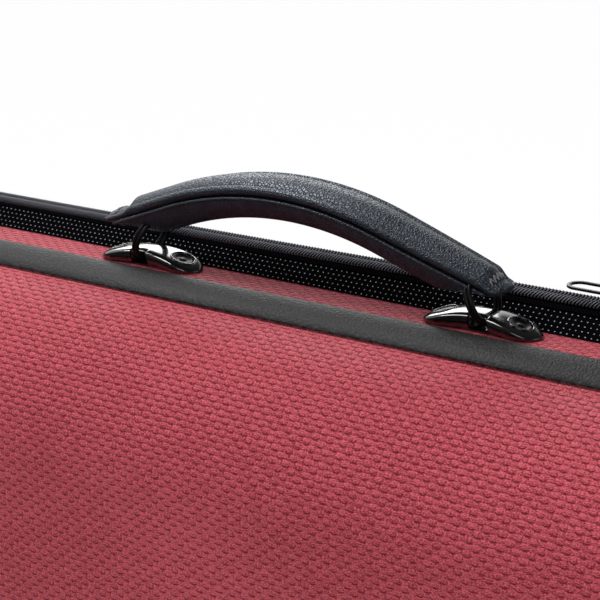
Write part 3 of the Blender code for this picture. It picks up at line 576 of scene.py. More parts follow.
@node_group(("Specks", "Height", "Cloud"), Scale=1600.0)
def fine_speckle(nodes, source):
    """Fine pits and pale specks of a moulded or painted skin."""
    fine = nodes.noise(source["Place"], source["Scale"], 1.0)
    cloud = nodes.noise(source["Place"], 22.0, 3.0)
    return {"Specks": nodes.smooth(fine, 0.56, 0.70), "Height": fine, "Cloud": cloud}


@node_group(("Height", "Patches", "Pile"))
def plush_pile(nodes, source):
    """Short brushed pile with soft patches where it lies another way."""
    pile, tufts, lie = (nodes.noise(source["Place"], scale) for scale in (1500.0, 240.0, 14.0))
    height = nodes.math("MULTIPLY_ADD", tufts, 0.6, pile)
    return {"Height": height, "Patches": nodes.smooth(lie, 0.38, 0.62), "Pile": pile}


@node_group(("Dots",), Pitch=0.00207, Dot=0.0008, From=0.0, To=1.0)
def dot_grid(nodes, source):
    """Round dots on a square grid, between two bounds across the strip."""
    calc = nodes.math
    along, across = nodes.split(source["Place"])[:2]
    squares = []
    for value in (along, across):
        near = calc("SUBTRACT", calc("FRACT", calc("DIVIDE", value, source["Pitch"])), 0.5)
        offset = calc("MULTIPLY", near, source["Pitch"])
        squares.append(calc("MULTIPLY", offset, offset))
    edge = calc("MULTIPLY", source["Dot"], 0.5)
    dot = nodes.scale(calc("SQRT", calc("ADD", *squares)), edge, calc("MULTIPLY", edge, 0.7), 0.0, 1.0)
    above = calc("GREATER_THAN", across, source["From"])
    below = calc("LESS_THAN", across, source["To"])
    return {"Dots": calc("MULTIPLY", dot, calc("MULTIPLY", above, below))}


def finish(values):
    """Decorator: a function that gives a Principled BSDF's values becomes one that gives its material, made once."""

    @functools.wraps(values)
    def material(name=values.__name__.replace("_", " "), *options):
        made = bpy.data.materials.get(name)
        if not made:
            made = bpy.data.materials.new(name)
            made.use_nodes = True
            nodes = Nodes(made.node_tree)
            shader = made.node_tree.nodes["Principled BSDF"].inputs
            for key, value in values(nodes, *options).items():
                nodes.put(shader[key], value)
        return made

    return material


@finish
def woven_cover(nodes):
    """Red basket weave of thick yarns, with painted shadow under each float and painted light on the floats' tops."""
    cover = bpy.context.scene.case_cover
    place = nodes.unfolded_place()
    weave = basket_weave(
        nodes, Place=place, Repeat=cover.repeat, Row=cover.row, Float=cover.float_reach, Rise=cover.rise,
    )
    fibres = nodes.noise(nodes.stretched(place, (1500.0, 2600.0, 1.0)), 1.0)
    # The yarn tone takes painted light from the weave's third mask, plus random fibre and cloud noise.
    tone = nodes.math("MULTIPLY_ADD", weave["Tone And Painted Light"], 0.20, nodes.scale(fibres, 0.3, 0.7, -0.70, 0.80))
    tone = nodes.math("ADD", tone, nodes.scale(nodes.noise(place, 9.0), 0.35, 0.65, 0.30, 0.52))
    yarn = nodes.mix(tone, cover.shade_colour, cover.light_colour)
    return {
        # Painted shadow: the weave's second mask darkens the yarn towards the shadow colour under the floats.
        "Base Color": nodes.mix(weave["Painted Shadow"], yarn, cover.painted_shadow_colour),
        "Roughness": nodes.scale(weave["Painted Shadow"], 0.0, 1.0, 0.50, 0.95),
        "Specular IOR Level": 0.12,
        "Sheen Weight": 0.09,
        "Sheen Roughness": 0.5,
        "Normal": nodes.bump(nodes.math("MULTIPLY_ADD", fibres, 0.80, weave["Height"]), cover.relief),
    }


@finish
def cover_binding(nodes):
    """Dark taped edge and backing of the cover inside the shells."""
    pits = fine_speckle(nodes, Place=nodes.object_place(), Scale=1300.0)["Height"]
    return {
        "Base Color": nodes.mix(pits, (0.020, 0.019, 0.021), (0.040, 0.038, 0.041)),
        "Roughness": nodes.scale(pits, 0.3, 0.7, 0.75, 0.95),
        "Normal": nodes.bump(pits, 0.0002),
    }


@finish
def rubber_edging(nodes):
    """Dark grey rubber with a fine speckle."""
    cover = bpy.context.scene.case_cover
    speckle = fine_speckle(nodes, Place=nodes.object_place(), Scale=1200.0)
    base = nodes.mix(nodes.smooth(speckle["Cloud"], 0.35, 0.65), cover.rubber_colour, cover.rubber_light)
    base = nodes.mix(nodes.smooth(speckle["Height"], 0.55, 0.30), base, (0.014, 0.013, 0.014))
    return {
        "Base Color": nodes.mix(speckle["Specks"], base, (0.045, 0.043, 0.045)),
        "Roughness": nodes.scale(speckle["Height"], 0.3, 0.7, 0.42, 0.62),
        "Specular IOR Level": 0.16,
        "Sheen Weight": 0.08,
        "Sheen Roughness": 0.15,
        "Normal": nodes.bump(speckle["Height"], 0.00022),
    }


@finish
def black_leather(nodes):
    """Black grained leather with a blue-grey sheen."""
    handle = bpy.context.scene.case_handle
    grain = leather_grain(nodes, Place=nodes.object_place(), Scale=handle.grain)
    base = nodes.mix(nodes.smooth(grain["Cloud"], 0.35, 0.65), handle.leather_colour, handle.leather_light)
    return {
        "Base Color": nodes.mix(nodes.math("MULTIPLY", grain["Crease"], 0.7), base, (0.006, 0.006, 0.007)),
        "Roughness": nodes.scale(grain["Crease"], 0.0, 1.0, 0.36, 0.70),
        "Specular IOR Level": 0.78,
        "Specular Tint": (0.78, 0.87, 1.0),
        "Normal": nodes.bump(grain["Height"], 0.00015, 0.8),
    }


@finish
def black_thread(nodes):
    """Twisted dark sewing thread."""
    twist = nodes.wave(nodes.object_place(), 900.0, "DIAGONAL", 1.0)
    return {
        "Base Color": nodes.mix(twist, (0.09, 0.092, 0.10), (0.28, 0.285, 0.30)),
        "Roughness": nodes.scale(twist, 0.0, 1.0, 0.45, 0.7),
        "Normal": nodes.bump(twist, 0.0001),
    }


@finish
def dotted_band(nodes):
    """Black webbing with a grid of pale woven dots."""
    zips = bpy.context.scene.case_zip
    place = nodes.unfolded_place()
    dots = dot_grid(nodes, Place=place, Pitch=zips.dot_pitch, Dot=zips.dot_size, From=0.0003, To=0.0097)["Dots"]
    ribs = nodes.wave(place, 420.0, "X")
    return {
        "Base Color": nodes.mix(dots, nodes.mix(ribs, zips.band_colour, zips.band_light), zips.dot_colour),
        "Roughness": nodes.scale(dots, 0.0, 1.0, 0.82, 0.5),
        "Specular IOR Level": 0.0,
        "Normal": nodes.bump(nodes.math("MULTIPLY_ADD", dots, 1.2, ribs), 0.0001),
    }


@finish
def zip_cloth(nodes):
    """Plain black zip tape with a fine herringbone."""
    zips = bpy.context.scene.case_zip
    ribs = nodes.wave(nodes.unfolded_place(), 480.0, "DIAGONAL", 0.6)
    return {
        "Base Color": nodes.mix(ribs, zips.band_colour, zips.band_light),
        "Roughness": nodes.scale(ribs, 0.0, 1.0, 0.8, 0.65),
        "Specular IOR Level": 0.0,
        "Normal": nodes.bump(ribs, 0.00012),
    }


@finish
def coil_nylon(nodes):
    """Black nylon of the coil, a little glossy."""
    zips = bpy.context.scene.case_zip
    cloud = nodes.noise(nodes.object_place(), 500.0)
    return {
        "Base Color": nodes.mix(cloud, zips.coil_colour, zips.coil_light),
        "Roughness": nodes.scale(cloud, 0.3, 0.7, 0.30, 0.45),
    }


@finish
def black_gloss(nodes):
    """Glossy black moulding or lacquer with faint waviness."""
    bracket = bpy.context.scene.case_bracket
    speckle = fine_speckle(nodes, Place=nodes.object_place(), Scale=420.0)
    return {
        "Base Color": nodes.mix(speckle["Cloud"], bracket.gloss_colour, bracket.gloss_light),
        "Roughness": nodes.scale(speckle["Cloud"], 0.3, 0.7, 0.13, 0.18),
        "Specular IOR Level": 0.9,
        "Coat Weight": 0.8,
        "Coat Roughness": 0.08,
        "Normal": nodes.bump(speckle["Height"], 0.000012),
    }


@finish
def dark_metal(nodes):
    """Black-coated metal, satin, a little worn."""
    bracket = bpy.context.scene.case_bracket
    speckle = fine_speckle(nodes, Place=nodes.object_place(), Scale=900.0)
    return {
        "Base Color": nodes.mix(speckle["Cloud"], bracket.metal_colour, bracket.metal_light),
        "Roughness": nodes.scale(speckle["Cloud"], 0.3, 0.7, 0.28, 0.4),
        "Metallic": 0.85,
        "Normal": nodes.bump(speckle["Height"], 0.00003),
    }


@finish
def bright_steel(nodes, tone):
    """Drawn steel with fine lines along the case."""
    drawn = nodes.noise(nodes.stretched(nodes.object_place(), (60.0, 4000.0, 4000.0)), 1.0)
    return {
        "Base Color": nodes.mix(drawn, [part * 0.75 for part in tone], tone),
        "Roughness": nodes.scale(drawn, 0.3, 0.7, 0.25, 0.42),
        "Metallic": 1.0,
    }


@finish
def plush(nodes, dark, light):
    """Short plush with sheen."""
    pile = plush_pile(nodes, Place=nodes.object_place())
    tone = nodes.math("MULTIPLY_ADD", pile["Patches"], 0.6, nodes.scale(pile["Pile"], 0.3, 0.7, 0.0, 0.4))
    return {
        "Base Color": nodes.mix(tone, dark, light),
        "Roughness": nodes.scale(pile["Pile"], 0.3, 0.7, 0.8, 1.0),
        "Sheen Weight": 0.6,
        "Sheen Roughness": 0.4,
        "Normal": nodes.bump(pile["Height"], 0.0004, 0.7),
    }


def lining_plush():
    inside = bpy.context.scene.case_inside
    return plush("plush", inside.plush_colour, inside.plush_light)


def pad_plush():
    inside = bpy.context.scene.case_inside
    return plush("pad plush", inside.pad_colour, inside.pad_light)


# Settings


def tint(label, words, value):
    return FloatVectorProperty(
        name=label, description=words, subtype="COLOR", size=3, min=0.0, max=1.0, default=value,
    )


def number(label, words, value, low=0.0, **more):
    return FloatProperty(name=label, description=words, default=value, min=low, **more)


def length(label, words, value, low=0.0):
    return number(label, words, value, low, unit="LENGTH", precision=5)


class CaseCoverSettings(bpy.types.PropertyGroup):
    """The woven cover and the rubber edging."""

    # The yarn's tone between the dark and light colours is partly random and partly painted light, with the floats
    # lighter on top and darker below.
    light_colour: tint("Yarn, light", "Lightest colour of the cover's yarn", (0.76, 0.124, 0.162))
    shade_colour: tint("Yarn, dark", "Darkest colour of the cover's yarn", (0.25, 0.013, 0.026))
    # Painted shadow colour, used for the dark crescents that stand for the shade under each float.
    painted_shadow_colour: tint("Painted shadow", "Colour between the yarns", (0.170, 0.002, 0.010))
    rubber_colour: tint("Rubber", "Colour of the edging", (0.0125, 0.0118, 0.0125))
    rubber_light: tint("Rubber, pale", "Colour of the edging's paler patches", (0.020, 0.019, 0.020))
    repeat: length("Repeat", "Length of one repeat of the weave along the case", 0.0050)
    row: length("Row", "Height of one row of the weave", 0.0020)
    float_reach: number("Float", "Length of a long yarn's float in half repeats", 1.32, 1.0, max=2.0)
    rise: number("Rise", "Height of the upright yarns against the long ones", 1.0, max=1.5, subtype="FACTOR")
    relief: length("Relief", "Height of the yarns", 0.00052)
    groove: length("Groove", "Depth of the dark line under the edging", 0.0008)


class CaseZipSettings(bpy.types.PropertyGroup):
    """The dotted bands, the tapes and the coil."""

    band_colour: tint("Band", "Colour of the bands and tapes", (0.0012, 0.0012, 0.0016))
    band_light: tint("Band, pale", "Colour on the ribs of the bands", (0.0036, 0.0036, 0.0044))
    coil_colour: tint("Coil", "Colour of the coil's wire", (0.100, 0.106, 0.122))
    coil_light: tint("Coil, pale", "Colour of the coil's wire where it is worn", (0.200, 0.210, 0.242))
    dot_colour: tint("Dots", "Colour of the dots", (0.38, 0.38, 0.40))
    dot_pitch: length("Dot pitch", "Distance between the dots", 0.00207)
    dot_size: length("Dot size", "Width of a dot", 0.00054)
    tooth_pitch: length("Tooth pitch", "Distance between the turns of the coil", 0.00120)
    tooth_wire: length("Tooth wire", "Radius of the coil's wire", 0.00031)


class CaseHandleSettings(bpy.types.PropertyGroup):
    """The leather handle."""

    leather_colour: tint("Leather", "Colour of the leather", (0.0040, 0.0075, 0.0125))
    leather_light: tint("Leather, pale", "Colour of the leather's paler patches", (0.0100, 0.0165, 0.0260))
    grain: number("Grain", "Pebbles of the grain per metre", 900.0, 100.0)
    corner: length("Corner", "Radius of the corners at the handle's ends", 0.0022)
    tab_drop: length("Tabs", "How far the tabs at the handle's ends lie below its pad", 0.0022)
    left_tab: length("Left tab", "Length of the tab at the left end", 0.0145)
    right_tab: length("Right tab", "Length of the tab at the right end", 0.0080)
    grip: length("Grip", "Thickness of the grip from its top line", 0.0138)
    grip_length: length("Grip length", "Length of the padded underside", 0.150)
    flank_inset: length("Flanks", "How far the flanks lie inside the rolled edges", 0.0009)
    piping: length("Piping", "Radius of the cord in the seam under the rolled edge", 0.00055)
    stitch_wire: length("Thread", "Radius of the sewing thread", 0.00026)
    rise: length("Rise", "How far the pad stands above its line", 0.0007)
    left_bend: number("Left bend", "Slope of the handle's left end", math.radians(21.1), subtype="ANGLE")
    right_bend: number("Right bend", "Slope of the handle's right end", math.radians(18.3), subtype="ANGLE")
    offset: length("Offset", "Distance from the handle's crest to its middle", 0.0035)
    shift: length("Shift", "Place of the handle's crest along the case", -0.0078, -0.05)


class CaseBracketSettings(bpy.types.PropertyGroup):
    """The brackets, rivets, rings and other metal."""

    gloss_colour: tint("Gloss", "Colour of the brackets", (0.0020, 0.0020, 0.0024))
    gloss_light: tint("Gloss, pale", "Colour of the brackets' paler patches", (0.0045, 0.0045, 0.0050))
    metal_colour: tint("Metal", "Colour of the black metal", (0.007, 0.007, 0.008))
    metal_light: tint("Metal, pale", "Colour of the black metal where it is worn", (0.020, 0.020, 0.022))
    rim: length("Rim", "Radius of the bead round each recess", 0.00034)


class CaseInsideSettings(bpy.types.PropertyGroup):
    """The bed, pads and linings."""

    plush_colour: tint("Plush", "Colour of the plush in its shade", (0.020, 0.019, 0.021))
    plush_light: tint("Plush, pale", "Colour of the plush where it catches light", (0.060, 0.057, 0.062))
    pad_colour: tint("Pads", "Colour of the pads in their shade", (0.030, 0.028, 0.031))
    pad_light: tint("Pads, pale", "Colour of the pads where they catch light", (0.085, 0.080, 0.086))
    pressure: number("Pressure", "Pressure that fills the pads", 4.0)
    swell: length("Swell", "Farthest that a point of a pad may move as it fills", 0.0045)


class CaseStageSettings(bpy.types.PropertyGroup):
    """The floor, the lamps and the camera."""

    floor_colour: tint("Floor", "Colour of the floor", (0.86, 0.86, 0.87))
    key_power: number("Overhead", "Power of the overhead lamp in watts", 26.0)
    back_power: number("Back", "Power of the lamp behind, which shows in highlights only, in watts", 9.0)
    fill_power: number("Fill", "Power of the front lamp in watts", 9.0)
    ambient: number("Ambient", "Strength of the light from all round", 0.19)
    reflected: number("Reflected", "Strength of the dark room in reflections", 0.05)
    screen: number("Screen", "Strength of the white screen on the left in reflections", 0.95)
    table: length("Table", "How far the table goes on behind the seam's plane", 0.006)
    drop: length("Drop", "Height of the table above the floor behind it, as room for the open lid", 0.14)
    lens: number("Lens", "Focal length of the camera", 120.0, 1.0, unit="CAMERA")
    viewpoint: FloatVectorProperty(
        name="Viewpoint", description="Place of the camera", default=(0.354, -0.5215, 0.456), size=3,
        subtype="TRANSLATION",
    )
    forward: FloatVectorProperty(
        name="Direction", description="Direction in which the camera looks", default=(-0.5471, 0.7857, -0.2887),
        size=3, subtype="XYZ",
    )


# Operators


class CASE_OT_covers(bpy.types.Operator):
    """Make the woven covers of both shells"""

    bl_idname = "case.covers"
    bl_label = "Woven Covers"

    def execute(self, context):
        groove = context.scene.case_cover.groove
        for label, side, rim, shoulder in SHELLS:
            outer = shell_profile(rim, shoulder, groove)
            inner = offset_profile(shell_profile(rim, shoulder), WALL)
            mesh = tray(f"{label}_cover", outer, inner, side)
            piece(mesh, woven_cover(), label, [f"{label}_shell"], 60)
            mesh.materials.append(cover_binding())
            outside = (len(outer) - 1) * len(outline(0.0)[0])
            face_cap = len(mesh.polygons) - 2
            for index, face in enumerate(mesh.polygons):
                if index >= outside and index != face_cap:
                    face.material_index = 1
        return {"FINISHED"}


class CASE_OT_edging(bpy.types.Operator):
    """Make the rubber edging of both shells"""

    bl_idname = "case.edging"
    bl_label = "Rubber Edging"

    def execute(self, context):
        # Shares of the way down the ramp, and heights above it
        marks = [
            (0.030, 0.00030), (0.012, 0.00036), (0.026, 0.0008), (0.08, 0.0013), (0.18, 0.0018), (0.36, 0.0022),
            (0.56, 0.0023), (0.74, 0.0021), (0.87, 0.0016), (0.95, 0.0010), (0.985, 0.0005), (0.970, 0.00030),
        ]
        for label, side, rim, _ in SHELLS:
            rows = [
                np.insert(outline(RAMP_DROP * part - height)[0], 1, seam(side, rim + RAMP_DEPTH * part), axis=1)
                for part, height in smooth_line(marks)
            ]
            mesh = surface(f"{label}_edging", rows, loop=True)
            piece(mesh, rubber_edging(), label, [f"{label}_trim"])
        return {"FINISHED"}


class CASE_OT_zip(bpy.types.Operator):
    """Make the dotted bands, the tapes and the turns of the coil"""

    bl_idname = "case.zip"
    bl_label = "Zip"

    def execute(self, context):
        low, high = BAND_HEIGHT + CLEARANCE, COIL_HEIGHT - COIL_RADIUS * 0.85
        coil_back = 2 * COIL_RADIUS + 2 * CLEARANCE
        band = [
            (CLEARANCE, BAND_FOOT), (BAND_HEIGHT * 0.5, BAND_FOOT * 0.55 + BAND_TOP_DEPTH * 0.42),
            (BAND_HEIGHT - 0.0003, BAND_TOP_DEPTH + 0.0005), (BAND_HEIGHT, BAND_TOP_DEPTH),
            (BAND_HEIGHT, BAND_BACK), (CLEARANCE, BAND_BACK),
        ]
        tape = [
            (low, BAND_TOP_DEPTH), (low + 0.0003, BAND_TOP_DEPTH + 0.0003), (low + 0.0006, BAND_TOP_DEPTH),
            (high - 0.0002, coil_back + TAPE_THICKNESS), (high, coil_back + TAPE_THICKNESS * 0.7),
            (high, coil_back), (low, BAND_TOP_DEPTH - TAPE_THICKNESS),
        ]
        core = [
            (COIL_HEIGHT + CORE_RADIUS * math.sin(a), COIL_RADIUS + CLEARANCE + CORE_RADIUS * math.cos(a))
            for a in full_turn(12)
        ]
        strips = (
            ("zip_band_{}_cloth", band, dotted_band(), "zip_band_{}", "black_webbing", 40),
            ("zip_tape_{}_cloth", tape, zip_cloth(), "zip_tape_{}", "black_webbing", 40),
            ("zip_core_{}_cord", core, zip_cloth(), "zip_coil_{}", "zip_nylon", 180),
        )
        for label, side, *_ in SHELLS:
            for name, section, made, node, slot, sharp in strips:
                piece(zip_strip(name.format(label), section, side), made, label, [node.format(label)], sharp)
            mesh = self.coil(f"zip_coil_{label}_turns", side)
            piece(mesh, coil_nylon(), label, [f"zip_coil_{label}"], 180)
        return {"FINISHED"}

    def coil(self, name, side):
        """Slanted turns of wire side by side, each a closed loop."""
        settings = bpy.context.scene.case_zip
        pitch, wire = settings.tooth_pitch, settings.tooth_wire
        count = int(zip_length() / pitch)
        places, outward, run = zip_path((np.arange(count) + (0.75 if side == BASE else 0.25)) * pitch)
        places = places + outward * zip_wave(places[:, :1], COIL_HEIGHT)
        around, sides = 9, 6
        turn = full_turn(around)[:, None]
        wire_turn = full_turn(sides)
        radial = COIL_RADIUS - wire + wire * np.cos(wire_turn)
        height = COIL_HEIGHT + np.sin(turn) * radial
        depth = COIL_RADIUS + CLEARANCE + np.cos(turn) * radial
        slant = (np.sin(turn) * 0.9 - np.cos(turn) * 0.25) * pitch + wire * np.sin(wire_turn)
        spot = (
            places[:, None, None] + outward[:, None, None] * height[..., None] + run[:, None, None] * slant[..., None]
        )
        levels = np.broadcast_to(seam(side, depth), spot.shape[:-1]).ravel()
        points = np.insert(spot.reshape(-1, 2), 1, levels, axis=1)
        faces = (quads(around, sides, True) + np.arange(count)[:, None, None] * around * sides).reshape(-1, 4)
        mesh = bpy.data.meshes.new(name)
        mesh.from_pydata(points.tolist(), [], faces.tolist())
        return turned_outward(mesh)


class CASE_OT_sliders(bpy.types.Operator):
    """Make the zip's two sliders and their pulls"""

    bl_idname = "case.sliders"
    bl_label = "Sliders and Pulls"

    def execute(self, context):
        for label, facing in (("left", -1), ("right", 1)):
            low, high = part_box(f"zip_slider_{label}")
            x = (low.x + high.x) / 2
            mesh = self.slider(f"zip_slider_{label}_cast", x)
            piece(mesh, dark_metal(), f"slider_{label}", [f"zip_slider_{label}"], 40)
            mesh = self.pull(f"zip_pull_{label}_cast", x, facing)
            piece(mesh, dark_metal(), f"pull_{label}", [f"zip_pull_{label}"], 40)
        return {"FINISHED"}

    def levels(self):
        """The lower and upper side of a slider's plate."""
        low = WALL_Z + COIL_HEIGHT + COIL_RADIUS + CLEARANCE * 1.5
        return low, low + SLIDER_WALL

    def slider(self, name, x):
        """A plate over the coil with a lip down the base's tape, and the bridge that holds the pull."""
        plate_low, plate_high = self.levels()
        tape_side = BAND_TOP_DEPTH + CLEARANCE * 2
        hook = WALL_Z + BAND_HEIGHT + CLEARANCE * 2
        outer, inner = seam(BASE, tape_side + SLIDER_WALL), seam(BASE, tape_side)
        tip = ((plate_high + plate_low) / 2, seam(LID, SLIDER_REACH) - SLIDER_WALL / 2)
        section = np.concatenate([
            [(hook, outer)],
            arc((plate_high - SLIDER_BEND, outer + SLIDER_BEND), SLIDER_BEND, -math.pi / 2, 0, 4),
            arc(tip, SLIDER_WALL / 2, 0, math.pi, 4),
            [(plate_low, inner), (hook, inner)],
        ])
        middle = section.mean(0)
        rows = []
        for share in np.linspace(-1, 1, 25):
            lower = 1 - 0.05 * max(0.0, abs(share) - 0.82) / 0.18
            narrower = 1 - 0.30 * abs(share) ** 3
            row = middle + (section - middle) * (lower, 1)
            row[:, 1] = np.where(row[:, 1] > SEAM_Y, SEAM_Y + (row[:, 1] - SEAM_Y) * narrower, row[:, 1])
            rows.append([(x + share * SLIDER_LENGTH / 2, y, z) for z, y in row])
        foot = plate_high - SLIDER_WALL / 2
        bow = arc((x, plate_high + PULL_THICKNESS), BRIDGE_RADIUS, 0, math.pi, 16)
        line = np.concatenate([[(x + BRIDGE_RADIUS, foot)], bow, [(x - BRIDGE_RADIUS, foot)]])
        bridge = tube("bridge", [(px, SEAM_Y, pz) for px, pz in line], BRIDGE_WIRE)
        return joined(name, [surface("slider", rows), bridge])

    def pull(self, name, x, facing):
        """A long flat loop with an open window and a slot for the slider's bridge."""
        curve = bpy.data.curves.new(name, "CURVE")
        curve.dimensions = "2D"
        curve.fill_mode = "BOTH"
        curve.extrude = PULL_THICKNESS * 0.32 - PULL_BEVEL
        curve.bevel_depth = PULL_BEVEL
        curve.bevel_resolution = 3
        curve.offset = -PULL_BEVEL
        hole = PULL_WIDTH * 0.36
        window = BRIDGE_RADIUS + BRIDGE_WIRE + CLEARANCE * 2
        for points in (
            self.slot(-PULL_THICKNESS * 0.6, PULL_LENGTH, PULL_WIDTH / 2, PULL_WIDTH / 2, PULL_CORNER),
            self.slot(PULL_THICKNESS * 0.6, window, BRIDGE_WIRE * 2, PULL_CORNER / 2, PULL_CORNER / 2),
            self.slot(PULL_LENGTH * 0.42, PULL_LENGTH - PULL_WIDTH * 0.16, hole, hole, PULL_CORNER),
        ):
            spline = curve.splines.new("POLY")
            spline.use_cyclic_u = True
            spline.points.add(len(points) - 1)
            for knot, (px, py) in zip(spline.points, points):
                knot.co = (px * facing, py, 0, 1)
        mesh = applied(placed(name + "_guide", curve), name)
        bpy.data.curves.remove(curve)
        mesh.transform(Matrix.Translation((x, SEAM_Y, self.levels()[1] + PULL_THICKNESS)))
        return turned_outward(mesh, weld=1e-6)

    def slot(self, start, end, half, far, near):
        """A strip along X with rounded ends of given radii."""
        quarter = math.pi / 2
        corners = []
        for middle, radius, turn in ((end - far, far, -quarter), (start + near, near, quarter)):
            for first in (turn, turn + quarter):
                up = math.copysign(half - radius, math.sin(first + quarter / 2))
                corners.append(arc((middle, up), radius, first, first + quarter, 8))
        return np.concatenate(corners)


class CASE_OT_brackets(bpy.types.Operator):
    """Make the two boat-shaped brackets and their rivets"""

    bl_idname = "case.brackets"
    bl_label = "Brackets and Rivets"

    def execute(self, context):
        for label, sign in (("left", -1), ("right", 1)):
            mesh = self.bracket(f"bracket_{label}_moulding", sign * BRACKET_X)
            piece(mesh, black_gloss(), "base", [f"handle_bracket_{label}"], 40)
        rivets = [self.rivet(side * BRACKET_X, end) for side in (-1, 1) for end in (-1, 1)]
        nodes = [f"bracket_rivet_{side}_{end}" for side in ("left", "right") for end in ("inner", "outer")]
        piece(joined("bracket_rivets", rivets), dark_metal(), "base", nodes, 50)
        return {"FINISHED"}

    def height(self, distance):
        """Height of the top line at a distance from the middle."""
        share = min(abs(distance) / BRACKET_HALF, 1.0)
        return BRACKET_TIP + (BRACKET_HEIGHT - BRACKET_TIP) * (1 - share**2) ** 0.85

    def slope(self):
        """Tilt and height of the pads at their recesses."""
        near, far = (self.height(RECESS_PLACE + step) for step in (-RECESS_RADIUS, RECESS_RADIUS))
        return math.atan2(near - far, 2 * RECESS_RADIUS), (near + far) / 2

    def half_width(self, distance):
        """Half the width at a distance from the middle."""
        marks = [
            (0.0, 0.88), (0.2, 0.90), (0.36, 0.95), (0.52, 0.99), (0.66, 1.0), (0.78, 0.92), (0.87, 0.76),
            (0.93, 0.58), (0.97, 0.38), (0.99, 0.22), (1.0, 0.08),
        ]
        return BRACKET_WIDE * float(np.interp(abs(distance) / BRACKET_HALF, *np.transpose(marks)))

    def bracket(self, name, x):
        """A boat with two pads and a saddle between them, with a narrow arch for the ring under the saddle."""
        base = WALL_Z + CLEARANCE
        tilt = self.slope()[0]
        middle = math.copysign(MOUTH_PLACE, x)
        mouth = np.array((-1, 1)) * MOUTH_HALF + middle
        close = np.geomspace(0.00005, 0.0008, 7)
        stations = np.unique(np.concatenate([
            np.linspace(-BRACKET_HALF, BRACKET_HALF, 161), mouth[0] + close, mouth[1] - close,
        ]))
        kernel = np.array((1, 4, 6, 4, 1)) / 16
        widths = np.convolve(np.pad([self.half_width(s) for s in stations], 2, "edge"), kernel, "valid")
        heights = np.convolve(np.pad([self.height(s) for s in stations], 2, "edge"), kernel, "valid")
        rows = []
        across = np.sin(np.linspace(-math.pi / 2, math.pi / 2, 57))
        for station, wide, high in zip(stations, widths, heights):
            opening = math.sqrt(max(0.0, 1 - (abs(station - middle) / MOUTH_HALF) ** 4))
            y = across * (wide * (1 - opening) + min(wide, MOUTH_KEEL) * opening)
            edge = high - min(BRACKET_ROUND, high * 0.4)
            top = edge + (high - edge) * (1 - np.abs(across) ** 8) ** 0.5 - BRACKET_CROWN * across**2
            saddle = RING_Z - np.sqrt(np.maximum(SADDLE_RADIUS**2 - y**2, 0.0)) - base
            bottom = np.minimum(np.maximum(saddle, 0.0), top - BRACKET_THIN) * opening
            for sign in (-1, 1):
                away = (station - sign * RECESS_PLACE) / math.cos(tilt)
                inside = RECESS_RADIUS - np.hypot(away, y)
                top = top - RECESS_DEPTH * soft_step(inside / RECESS_SLOPE + 0.4)
            wall = max(top[0] - BRACKET_THIN, top[0] * 0.8)
            upper = np.stack([np.full(len(y), x + station), BRACKET_Y + y, base + top], -1)
            inset = 1 - BRACKET_UNDERCUT * (1 - (station / BRACKET_HALF) ** 2) * (1 - opening)
            lower = np.stack([np.full(len(y), x + station), BRACKET_Y + y * inset, base + bottom], -1)
            sides = [[(x + station, BRACKET_Y + y[k], base + wall)] for k in (0, -1)]
            rows.append(np.concatenate([sides[0], upper, sides[1], lower[::-1]]))
        rims = [self.rim(x, end, base) for end in (-1, 1)]
        return joined(name, [surface("body", rows), self.plate(x, base)] + rims)

    def rim(self, x, end, base):
        """A round bead along the edge of a recess."""
        radius = bpy.context.scene.case_bracket.rim
        tilt = self.slope()[0]
        line = []
        for turn in full_turn(48):
            place = end * RECESS_PLACE + RECESS_RADIUS * math.cos(turn) * math.cos(tilt)
            level = base + self.height(place) - radius * 0.3
            line.append((x + place, BRACKET_Y + RECESS_RADIUS * math.sin(turn), level))
        return tube("rim", line, radius, loop=True)

    def plate(self, x, base):
        """The thin floor of the ring's arch."""
        rows = []
        for station in math.copysign(MOUTH_PLACE, x) + np.linspace(-MOUTH_HALF, MOUTH_HALF, 25):
            wide = self.half_width(station) * (1 - BRACKET_UNDERCUT)
            rows.append([
                (x + station, BRACKET_Y + y, base + z)
                for y, z in (
                    (-wide, -BRACKET_THIN), (-wide, BRACKET_PLATE), (wide, BRACKET_PLATE), (wide, -BRACKET_THIN),
                )
            ])
        return surface("plate", rows)

    def rivet(self, x, end):
        """A domed head with a small centre dimple, square to its pad."""
        tilt, height = self.slope()
        outward = math.copysign(1, x) * end
        axis = np.array((outward * math.sin(tilt), 0, math.cos(tilt)))
        seat = np.array((x + outward * RECESS_PLACE, BRACKET_Y, WALL_Z + CLEARANCE + height)) - axis * RECESS_DEPTH
        radius = RECESS_RADIUS - CLEARANCE * 2
        marks = [
            (0.9, 0.0001), (1.0, 0.0003), (1.0, 0.00052), (0.96, 0.00064), (0.90, 0.00066), (0.84, 0.00056),
            (0.62, 0.00030), (0.40, 0.00022), (0.34, 0.00030), (0.28, 0.00050), (0.16, 0.00060), (0.02, 0.00062),
        ]
        side = np.array((0.0, 1.0, 0.0))
        around = circle(side, np.cross(axis, side), 40)
        return surface("rivet", [seat + axis * (lift + CLEARANCE) + radius * share * around for share, lift in marks])


